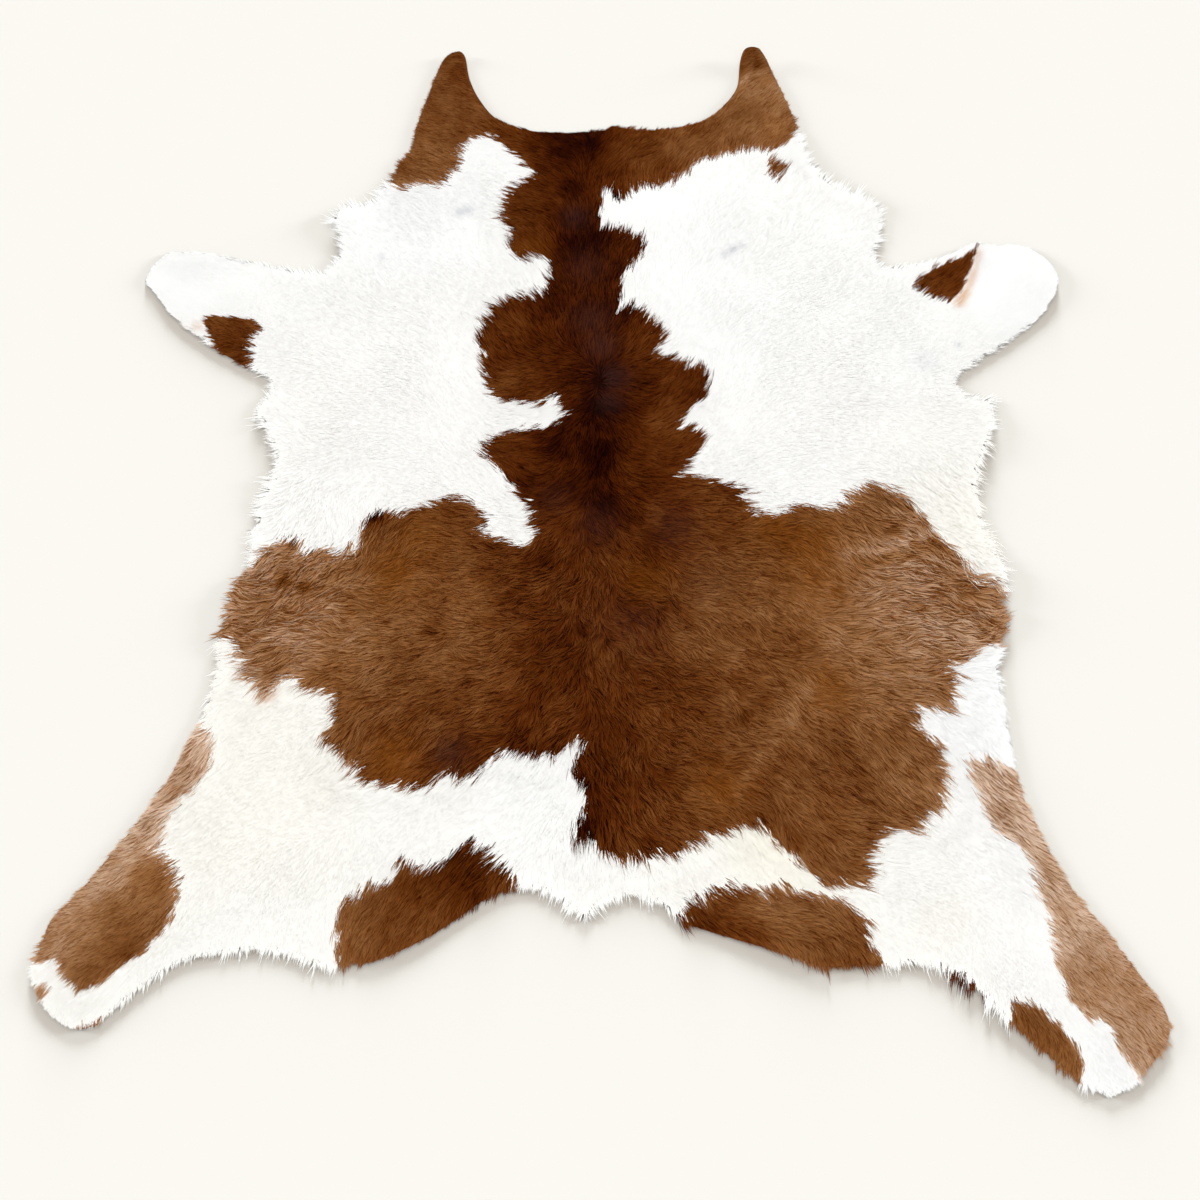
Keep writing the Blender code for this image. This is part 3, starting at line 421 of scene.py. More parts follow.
# how dark the brown hair is: (x, y, 0 pale tan .. 0.5 chestnut .. 1 nearly black)
brownDepth = {
    "ears": [
        (-0.26, 0.92, 0.56), (-0.28, 0.81, 0.45), (-0.24, 0.84, 0.56), (-0.32, 0.72, 0.46),
        (-0.34, 0.67, 0.46), (-0.23, 0.78, 0.53), (0.29, 0.925, 0.42), (0.28, 0.90, 0.38),
        (0.30, 0.86, 0.29), (0.32, 0.82, 0.32), (0.30, 0.76, 0.43), (0.25, 0.75, 0.43),
        (0.17, 0.72, 0.50),
    ],
    "neck": [
        (-0.14, 0.72, 0.63), (-0.11, 0.73, 0.80), (-0.07, 0.72, 1.00), (-0.01, 0.72, 0.95),
        (0.03, 0.70, 0.63), (0.08, 0.69, 0.56), (-0.14, 0.59, 0.62), (-0.09, 0.61, 0.72),
        (-0.04, 0.57, 0.97), (-0.04, 0.64, 0.86), (0.01, 0.65, 0.77), (-0.13, 0.52, 0.73),
        (-0.01, 0.53, 0.92),
    ],
    "withers": [
        (0.01, 0.47, 0.88), (-0.04, 0.44, 0.88), (0.05, 0.49, 0.80), (-0.16, 0.33, 0.72),
        (-0.10, 0.31, 0.79), (-0.03, 0.33, 0.89), (0.01, 0.39, 0.88), (0.09, 0.31, 0.71),
        (0.15, 0.24, 0.71), (0.01, 0.25, 0.97), (0.06, 0.24, 0.71), (-0.06, 0.25, 0.78),
        (-0.16, 0.24, 0.62), (-0.10, 0.24, 0.70),
    ],
    "back": [
        (0.01, 0.18, 1.00), (0.01, 0.10, 0.98), (0.01, 0.02, 0.93), (-0.15, 0.11, 0.73),
        (-0.05, 0.12, 0.92), (0.11, 0.15, 0.63), (0.06, 0.15, 0.80), (0.09, 0.10, 0.67),
        (0.07, 0.06, 0.77), (0.16, 0.10, 0.69), (-0.07, 0.04, 0.81), (0.12, 0.21, 0.67),
    ],
    "saddle": [
        (-0.06, -0.01, 0.71), (0.01, -0.05, 0.72), (0.11, -0.01, 0.71), (0.21, -0.01, 0.62),
        (0.07, -0.19, 0.71), (-0.03, -0.19, 0.70), (-0.13, -0.16, 0.67), (0.17, -0.23, 0.45),
        (0.14, -0.10, 0.63), (-0.16, -0.33, 0.63), (-0.08, -0.33, 0.71), (-0.12, -0.40, 0.84),
        (0.01, -0.33, 0.73), (0.01, -0.43, 0.74), (-0.02, -0.52, 0.86), (0.07, -0.54, 0.66),
        (0.10, -0.46, 0.68), (0.17, -0.37, 0.62), (0.16, -0.49, 0.50), (-0.09, -0.25, 0.71),
        (0.20, -0.34, 0.50), (0.20, -0.52, 0.57), (-0.09, -0.09, 0.78), (0.21, -0.16, 0.47),
        (0.09, -0.09, 0.76), (0.21, -0.09, 0.53), (0.20, -0.22, 0.43), (0.12, -0.30, 0.68),
    ],
    "leftFlank": [
        (-0.23, -0.09, 0.48), (-0.30, -0.05, 0.50), (-0.23, -0.01, 0.58), (-0.33, -0.16, 0.45),
        (-0.41, -0.12, 0.39), (-0.48, -0.09, 0.34), (-0.56, -0.12, 0.24), (-0.59, -0.20, 0.30),
        (-0.50, -0.23, 0.25), (-0.40, -0.23, 0.29), (-0.32, -0.26, 0.51), (-0.22, -0.24, 0.44),
        (-0.51, -0.28, 0.31), (-0.43, -0.30, 0.50), (-0.36, -0.36, 0.53), (-0.31, -0.44, 0.62),
        (-0.24, -0.36, 0.58), (-0.17, -0.08, 0.69), (-0.56, -0.28, 0.21), (-0.27, -0.22, 0.42),
        (-0.44, -0.22, 0.24), (-0.38, -0.41, 0.56), (-0.33, -0.10, 0.53), (-0.21, -0.16, 0.48),
        (-0.20, -0.34, 0.56), (-0.20, -0.42, 0.74),
    ],
    "rightFlank": [
        (0.32, -0.05, 0.61), (0.36, -0.11, 0.46), (0.42, -0.09, 0.34), (0.48, -0.01, 0.36),
        (0.55, -0.09, 0.24), (0.60, -0.16, 0.32), (0.64, -0.15, 0.29), (0.50, -0.23, 0.28),
        (0.41, -0.23, 0.33), (0.30, -0.23, 0.52), (0.24, -0.43, 0.50), (0.26, -0.33, 0.52),
        (0.32, -0.49, 0.53), (0.36, -0.57, 0.53), (0.40, -0.46, 0.55), (0.48, -0.46, 0.42),
        (0.52, -0.40, 0.44), (0.46, -0.34, 0.40), (0.54, -0.31, 0.30), (0.35, -0.36, 0.44),
        (0.44, -0.16, 0.20), (0.50, -0.10, 0.24), (0.38, -0.03, 0.48), (0.56, -0.22, 0.17),
        (0.38, -0.16, 0.29), (0.42, -0.58, 0.45),
    ],
    "buttocks": [
        (-0.35, -0.65, 0.55), (-0.27, -0.64, 0.67), (-0.20, -0.61, 0.83), (-0.38, -0.71, 0.43),
        (-0.29, -0.70, 0.53), (-0.14, -0.62, 0.65), (0.13, -0.67, 0.66), (0.18, -0.65, 0.60),
        (0.16, -0.70, 0.70), (0.23, -0.72, 0.72), (0.27, -0.66, 0.42), (0.31, -0.72, 0.46),
        (0.36, -0.68, 0.39), (0.40, -0.72, 0.56),
    ],
    "hocks": [
        (-0.63, -0.41, 0.02), (-0.65, -0.46, 0.13), (-0.69, -0.51, 0.04), (-0.76, -0.61, 0.08),
        (-0.81, -0.65, 0.15), (-0.69, -0.62, 0.43), (-0.75, -0.67, 0.45), (-0.79, -0.71, 0.25),
        (-0.73, -0.73, 0.50), (-0.83, -0.70, 0.18), (-0.76, -0.77, 0.46), (-0.69, -0.48, 0.09),
        (-0.73, -0.55, 0.01), (-0.78, -0.60, 0.05), (-0.83, -0.67, 0.18), (0.67, -0.47, 0.07),
        (0.71, -0.54, 0.06), (0.76, -0.61, 0.09), (0.80, -0.69, 0.10), (0.84, -0.77, 0.15),
        (0.62, -0.46, 0.04), (0.66, -0.52, 0.04), (0.69, -0.57, 0.04), (0.74, -0.66, 0.08),
        (0.74, -0.73, 0.08), (0.78, -0.80, 0.14), (0.83, -0.82, 0.22), (0.82, -0.88, 0.17),
        (0.80, -0.74, 0.11), (0.55, -0.78, 0.85),
    ],
    "heelsAndElbows": [
        (0.68, -0.86, 0.48), (0.70, -0.91, 0.42), (0.66, -0.82, 0.44), (-0.63, 0.34, 0.65),
        (-0.67, 0.36, 0.63), (0.61, 0.45, 0.71), (0.67, 0.50, 0.60), (0.33, 0.68, 0.56),
    ],
}

# how warm the white hair is: (x, y, 0 cool .. 1 cream)
whiteWarmth = [
    (-0.53, 0.45, 0.15), (-0.35, 0.55, 0.05), (-0.46, 0.21, 0.35), (-0.31, 0.31, 0.25),
    (-0.34, 0.11, 0.30), (-0.74, 0.46, 0.10), (0.18, 0.51, 0.10), (0.45, 0.55, 0.20),
    (0.25, 0.31, 0.10), (0.53, 0.31, 0.15), (0.35, 0.17, 0.30), (0.59, 0.11, 0.45), (0.61, -0.01, 0.65),
    (0.75, 0.47, 0.00), (0.31, 0.06, 0.20), (-0.55, -0.41, 0.60), (-0.47, -0.49, 0.60),
    (-0.57, -0.57, 0.60), (-0.31, -0.53, 0.45), (-0.53, -0.70, 0.40), (-0.23, -0.53, 0.35),
    (-0.09, -0.49, 0.15), (0.16, -0.61, 0.45), (0.26, -0.57, 0.90), (0.50, -0.61, 0.40),
    (0.56, -0.68, 0.70), (0.63, -0.61, 0.10), (0.62, -0.36, 0.00), (0.75, -0.92, 0.10),
    (0.62, -0.71, 0.20),
]

# small marks on the hide, some of them painted shade or painted highlights: (what, x, y, radius, strength)
marks = {
    # darker brown: whorls, flecks and tufts, and painted shade in the hollows under the ridge and beside
    # the tail head
    "dark": [
        ("whorl in the left flank", -0.514, -0.123, 0.012, 0.60),
        ("whorl beside it", -0.480, -0.136, 0.010, 0.55),
        ("fleck in the left flank", -0.277, -0.213, 0.012, 0.22),
        ("fleck in the left flank", -0.277, -0.144, 0.010, 0.16),
        ("tuft at the top border", -0.374, -0.012, 0.016, 0.50),
        ("tuft at the top border", -0.507, -0.047, 0.015, 0.60),
        ("hollow under the ridge", 0.495, -0.031, 0.010, 0.20),
        ("hollow under the ridge", 0.528, -0.061, 0.012, 0.22),
        ("fleck in the right flank", 0.398, -0.143, 0.010, 0.24),
        ("fleck in the right flank", 0.531, -0.176, 0.010, 0.26),
        ("fleck in the right saddle", 0.235, -0.365, 0.014, 0.14),
        ("fleck in the right saddle", 0.150, -0.205, 0.016, 0.12),
        ("tuft beside the neck", 0.030, 0.615, 0.014, 0.25),
        ("hollow beside the tail head", -0.030, -0.460, 0.014, 0.20),
        ("hollow beside the tail head", -0.024, -0.536, 0.018, 0.18),
        ("tuft of the left buttock", -0.310, -0.581, 0.010, 0.30),
        ("tuft of the left buttock", -0.234, -0.577, 0.010, 0.20),
        ("tuft of the left buttock", -0.203, -0.558, 0.010, 0.16),
        ("corner of the left ear", -0.390, 0.645, 0.014, 0.35),
    ],
    "grey": [
        ("smudge on the left neck", -0.246, 0.584, 0.010, 0.50),
        ("smudge on the left neck", -0.232, 0.588, 0.010, 0.50),
        ("smudge on the right neck", 0.241, 0.505, 0.008, 0.60),
        ("smudge on the right neck", 0.226, 0.495, 0.008, 0.40),
        ("smudge on the right neck", 0.256, 0.512, 0.007, 0.35),
        ("ring on the left neck", -0.383, 0.490, 0.007, 0.40),
        ("behind the right foreleg", 0.570, 0.280, 0.026, 0.12),
        ("behind the right foreleg", 0.630, 0.313, 0.005, 0.50),
    ],
    "pink": [
        ("left elbow's border", -0.700, 0.352, 0.009, 0.60),
        ("golden fringe of the left flank", -0.530, -0.322, 0.012, 0.90),
    ],
    # painted highlights: the shine on the buttocks
    "light": [
        ("shine of the left buttock", -0.290, -0.660, 0.020, 0.04),
        ("shine of the right buttock", 0.255, -0.665, 0.024, 0.05),
    ],
    "plum": [
        ("neck", -0.040, 0.575, 0.024, 0.55),
        ("withers", -0.020, 0.470, 0.035, 0.35),
        ("withers", -0.009, 0.363, 0.035, 0.50),
        ("withers", 0.008, 0.313, 0.030, 0.60),
        ("back", 0.030, 0.250, 0.028, 0.75),
        ("back", 0.020, 0.206, 0.025, 0.60),
        ("back", 0.002, -0.027, 0.038, 0.40),
        ("right of the back", 0.132, -0.032, 0.040, 0.35),
        ("left of the rump", -0.235, -0.420, 0.030, 0.50),
        ("left saddle", -0.070, 0.020, 0.030, 0.30),
        ("right saddle", 0.060, -0.200, 0.060, 0.25),
        ("right saddle", 0.180, -0.130, 0.050, 0.22),
    ],
    "amber": [
        ("left flank", -0.500, -0.170, 0.110, 0.36),
        ("right flank", 0.560, -0.110, 0.110, 0.30),
        ("left saddle", -0.335, -0.111, 0.050, 0.70),
        ("left saddle", -0.300, -0.050, 0.040, 0.55),
        ("left of the rump", -0.324, -0.430, 0.040, 0.60),
        ("below the back", 0.084, -0.130, 0.035, 0.45),
        ("right saddle", 0.360, -0.070, 0.055, 0.80),
        ("right saddle", 0.300, -0.030, 0.045, 0.55),
        ("right saddle", 0.370, -0.140, 0.050, 0.70),
        ("right saddle", 0.376, -0.310, 0.040, 0.60),
        ("right of the rump", 0.197, -0.480, 0.045, 0.55),
        ("neck", -0.130, 0.500, 0.030, 0.35),
    ],
}

# creases and ridges: painted highlights along them, painted shade below the ridge and on the folded ear
# tip, and pink skin in folds: (what, from x, y, to x, y, radius, strength)
creases = {
    # painted highlights along the creases and the ridge
    "light": [
        ("crease in the right saddle", 0.218, -0.480, 0.296, -0.390, 0.010, 0.11),
        ("crease in the right saddle", 0.296, -0.390, 0.348, -0.298, 0.010, 0.11),
        ("ridge of the right flank", 0.405, -0.082, 0.480, -0.064, 0.010, 0.10),
        ("ridge of the right flank", 0.480, -0.064, 0.550, -0.040, 0.008, 0.13),
        ("crease of the right ear", 0.268, 0.868, 0.284, 0.884, 0.006, 0.14),
        ("crease of the right ear", 0.284, 0.884, 0.309, 0.885, 0.006, 0.14),
    ],
    # painted shade below the ridge and on the folded tip of the right ear
    "dark": [
        ("below the ridge", 0.450, -0.092, 0.530, -0.080, 0.008, 0.14),
        ("below the ridge", 0.530, -0.068, 0.590, -0.066, 0.012, 0.16),
        ("folded tip of the right ear", 0.268, 0.895, 0.290, 0.936, 0.012, 0.20),
        ("folded tip of the right ear", 0.290, 0.936, 0.300, 0.903, 0.009, 0.20),
    ],
    "pink": [
        ("fold of the right foreleg", 0.680, 0.500, 0.672, 0.470, 0.007, 0.50),
        ("fold of the right foreleg", 0.668, 0.460, 0.657, 0.430, 0.008, 0.70),
        ("fold of the right foreleg", 0.650, 0.418, 0.638, 0.398, 0.009, 1.00),
        ("lower edge of the left foreleg", -0.745, 0.362, -0.700, 0.322, 0.007, 0.40),
    ],
}

lieOfHide = {
    "leather": 0.0022,       # its thickness
    "rimPile": 0.0016,       # hair depth right at the cut edge
    "rimWidth": 0.022,       # over which the pile swells inwards
    "lump": 0.0032,          # rise and fall of the lying hair
    "lumpSize": 0.095,
    "spineRise": 0.0025,     # hair stands higher where it parts along the back
    "spineX": -0.006,
    "spineWidth": 0.030,
    "spineEnds": (-0.10, 0.72),
    "mapStep": 0.004,        # between the places where all of this is worked out
    "mapMargin": 0.040,      # past the hide's box
    "edgeStep": 0.010,       # between the cut edge's points, while that is worked out
    "blends": {              # how a table's rows run together: (softness, how much the near ones count)
        "coat": (0.004, 1.5), "lay": (0.0004, 2), "depth": (0.0004, 1.5), "cream": (0.004, 1.5),
    },
}


def smoothLoop(stretches, step):
    # the cut edge as points, rounded through all but its corners, with the hair length at each
    rows = [row for stretch in stretches.values() for row in stretch]
    places = np.array([row[:2] for row in rows])
    isCorner = ["corner" in row for row in rows]
    points, hairs = [], []
    for i, (_, _, reach, *_) in enumerate(rows):
        after = (i + 1) % len(rows)
        chord = places[after] - places[i]
        run = math.hypot(*chord)
        leave = chord if isCorner[i] else (places[after] - places[i - 1]) / 2
        arrive = chord if isCorner[after] else (places[(i + 2) % len(rows)] - places[i]) / 2
        leave = leave * min(1, run / math.hypot(*leave))
        arrive = arrive * min(1, run / math.hypot(*arrive))
        pieces = max(1, round(run / step))
        for t in np.arange(pieces) / pieces:
            points.append(
                (2 * t**3 - 3 * t**2 + 1) * places[i] + (t**3 - 2 * t**2 + t) * leave
                + (3 * t**2 - 2 * t**3) * places[after] + (t**3 - t**2) * arrive
            )
            hairs.append(reach + t * (rows[after][2] - reach))
    return np.array(points), np.array(hairs)


def insideOf(loop, x, y):
    # distance to a closed loop, positive inside it, and the number of the nearest side
    nearest = np.full(x.shape, 9.0)      # farther than any side
    side = np.zeros(x.shape, int)
    within = np.zeros(x.shape, bool)
    for i, ((ax, ay), (bx, by)) in enumerate(zip(loop, np.roll(loop, -1, axis=0))):
        sx, sy = bx - ax, by - ay
        t = np.clip(((x - ax) * sx + (y - ay) * sy) / (sx * sx + sy * sy), 0, 1)
        away = np.hypot(x - ax - sx * t, y - ay - sy * t)
        closer = away < nearest
        nearest[closer] = away[closer]
        side[closer] = i
        if ay != by:
            within ^= ((ay > y) != (by > y)) & (x < ax + (y - ay) * sx / sy)
    return np.where(within, nearest, -nearest), side


def blend(rows, x, y, kind):
    # the rows' values at each place, the near rows counting most; rows are (x, y, values...)
    soft, power = lieOfHide["blends"][kind]
    total = np.zeros(x.shape)
    sums = [np.zeros(x.shape) for _ in rows[0][2:]]
    for rowX, rowY, *values in rows:
        weight = ((x - rowX) ** 2 + (y - rowY) ** 2 + soft) ** -power
        total += weight
        for k, value in enumerate(values):
            sums[k] += weight * value
    return [one / total for one in sums]


def between(values, i, j, u, v):
    # a grid's value between column i and the next, and row j and the next
    low = values[j, i] * (1 - u) + values[j, i + 1] * u
    high = values[j + 1, i] * (1 - u) + values[j + 1, i + 1] * u
    return low * (1 - v) + high * v


def softNoise(x, y, size, seed):
    # smooth hills and hollows from -1 to 1, about one size apart
    cells = 512
    table = np.random.default_rng(seed).uniform(-1, 1, (cells, cells))
    u, v = x / size + cells / 2, y / size + cells / 2
    i, j = np.floor(u).astype(int), np.floor(v).astype(int)
    u, v = u - i, v - j
    u, v = u * u * (3 - 2 * u), v * v * (3 - 2 * v)
    return between(table, i % (cells - 1), j % (cells - 1), u, v)


def liftAt(x, y):
    # how far the hide stands off the floor on its ripples
    lift = np.zeros(x.shape)
    for _, rowX, rowY, halfLong, halfWide, heading, height in ripples:
        turn = math.radians(heading)
        along = (x - rowX) * math.cos(turn) + (y - rowY) * math.sin(turn)
        across = (y - rowY) * math.cos(turn) - (x - rowX) * math.sin(turn)
        reach = np.minimum((along / halfLong) ** 2 + (across / halfWide) ** 2, 1)
        lift = np.maximum(lift, height * (1 - reach) ** 2)
    return lift


def pileAt(x, y, inside, pile):
    # depth of the lying hair over the leather
    hide = lieOfHide
    swell = np.clip(inside / hide["rimWidth"], 0, 1)
    swell = swell * swell * (3 - 2 * swell)
    size = hide["lumpSize"]
    lumps = np.array([noise.noise(Vector((a / size, b / size, 0.0))) for a, b in zip(x.flat, y.flat)])
    lumps = hide["lump"] * lumps.reshape(x.shape)
    low, high = hide["spineEnds"]
    off = (x - hide["spineX"]) / hide["spineWidth"]
    ridge = np.where((y > low) & (y < high), hide["spineRise"] * np.exp(-off * off), 0)
    return hide["rimPile"] + swell * (pile - hide["rimPile"] + lumps + ridge)


def workOutMaps():
    # everything that changes over the hide, on one fine grid
    step, margin = lieOfHide["mapStep"], lieOfHide["mapMargin"]
    xs = np.arange(cadLow[0] - margin, cadHigh[0] + margin, step)
    ys = np.arange(cadLow[1] - margin, cadHigh[1] + margin, step)
    x, y = np.meshgrid(xs, ys)
    maps = {"start": (xs[0], ys[0]), "step": step}
    rim, rimHair = smoothLoop(cutEdge, lieOfHide["edgeStep"])
    maps["inside"], side = insideOf(rim, x, y)
    maps["rimHair"] = rimHair[side]
    slopeY, slopeX = np.gradient(maps["inside"], step)
    steep = np.hypot(slopeX, slopeY) + 1e-9
    maps["outX"], maps["outY"] = -slopeX / steep, -slopeY / steep
    outlines = [[place for row in patch.values() for place in row] for patch in patches.values()]
    maps["patch"] = np.max([insideOf(np.array(outline), x, y)[0] for outline in outlines], axis=0)
    kinds = [row[1:] for row in coatKinds]
    pile, maps["length"], maps["tufty"], maps["wavy"] = blend(kinds, x, y, "coat")
    maps["lift"] = liftAt(x, y)
    maps["pile"] = pileAt(x, y, maps["inside"], pile)
    lay = [row for part in hairLay.values() for row in part]
    lay = [(a, b, math.cos(math.radians(turn)), math.sin(math.radians(turn))) for a, b, turn in lay]
    maps["layX"], maps["layY"] = blend(lay, x, y, "lay")
    depths = [row for part in brownDepth.values() for row in part]
    (maps["depth"],) = blend(depths, x, y, "depth")
    (maps["cream"],) = blend(whiteWarmth, x, y, "cream")
    # each kind of mark as a map; the dark and light maps also hold painted shade and painted highlights
    for kind, spots in marks.items():
        maps[kind] = np.zeros(x.shape)
        lines = [(a, b, a, b, radius, strength) for _, a, b, radius, strength in spots]
        lines += [row[1:] for row in creases.get(kind, [])]
        for fromX, fromY, toX, toY, radius, strength in lines:
            runX, runY = toX - fromX, toY - fromY
            share = ((x - fromX) * runX + (y - fromY) * runY) / max(runX**2 + runY**2, 1e-9)
            share = np.clip(share, 0, 1)
            away = np.hypot(x - fromX - share * runX, y - fromY - share * runY)
            maps[kind] = np.maximum(maps[kind], strength * np.exp(-((away / radius) ** 2)))
    return maps


def readMap(maps, name, x, y):
    # a map's value at any place, between its grid points
    values = maps[name]
    rows, columns = values.shape
    u = np.clip((x - maps["start"][0]) / maps["step"], 0, columns - 1.001)      # short of the last point
    v = np.clip((y - maps["start"][1]) / maps["step"], 0, rows - 1.001)
    i, j = u.astype(int), v.astype(int)
    return between(values, i, j, u - i, v - j)


maps = workOutMaps()
print("cut edge, patches, lie of the hair and depth of the pile worked out on", maps["inside"].shape)


def linear(code):
    # "#rrggbb" as the numbers that a shader wants
    parts = [int(code[k:k + 2], 16) / 255 for k in (1, 3, 5)]
    return [(c / 12.92 if c <= 0.04045 else ((c + 0.055) / 1.055) ** 2.4) for c in parts] + [1.0]


def addPiece(name, mesh, material):
    piece = bpy.data.objects.new(name, mesh)
    bpy.context.collection.objects.link(piece)
    mesh.materials.append(material)
    return piece


def setAttribute(mesh, name, values):
    # three numbers at each vertex, for the material to read
    made = mesh.attributes.new(name, "FLOAT_VECTOR", "POINT")
    made.data.foreach_set("vector", values.astype(np.float32).ravel())


def newMaterial(name):
    # a material, its nodes and its shader
    material = bpy.data.materials.new(name)
    material.use_nodes = True
    return material, material.node_tree, material.node_tree.nodes["Principled BSDF"]


def plugIn(tree, socket, value):
    # a link from another node's output, or a fixed value
    if isinstance(value, bpy.types.NodeSocket):
        tree.links.new(value, socket)
    else:
        socket.default_value = value


def addNode(tree, kind, inputs=None, **settings):
    node = tree.nodes.new(kind)
    for key, value in settings.items():
        setattr(node, key, value)
    for key, value in (inputs or {}).items():
        plugIn(tree, node.inputs[key], value)
    return node


def addRamp(tree, factor, stops):
    # stops are (place, "#rrggbb")
    ramp = addNode(tree, "ShaderNodeValToRGB", {"Fac": factor})
    line = ramp.color_ramp
    while len(line.elements) < len(stops):
        line.elements.new(0.5)
    for element, (place, code) in zip(line.elements, stops):
        element.position = place
        element.color = linear(code)
    return ramp.outputs["Color"]


def mixColours(tree, factor, first, second, how="MIX"):
    inputs = {0: factor, 6: first, 7: second}      # the mix node's sockets for colours
    return addNode(tree, "ShaderNodeMix", inputs, data_type="RGBA", blend_type=how).outputs[2]


def doSum(tree, how, *terms):
    return addNode(tree, "ShaderNodeMath", dict(enumerate(terms)), operation=how).outputs[0]


def splitAttribute(tree, name):
    # the three numbers of setAttribute
    read = addNode(tree, "ShaderNodeAttribute", attribute_name=name)
    return addNode(tree, "ShaderNodeSeparateXYZ", {"Vector": read.outputs["Vector"]}).outputs[:3]


def addNoise(tree, place, grain):
    return addNode(tree, "ShaderNodeTexNoise", {"Vector": place, **grain}).outputs["Fac"]


def addBrown(tree, shade):
    # 0 to 1 of the tables, above the first brown, which is for pale strands on the palest
    return addRamp(tree, doSum(tree, "MULTIPLY_ADD", shade, 0.91, 0.09), hair["browns"])


def setSheen(tree, shader, value, roughness, specular):
    low, high = roughness
    rough = addNode(tree, "ShaderNodeMapRange", {"Value": value, "To Min": low, "To Max": high})
    plugIn(tree, shader.inputs["Roughness"], rough.outputs[0])
    shader.inputs["Specular IOR Level"].default_value = specular


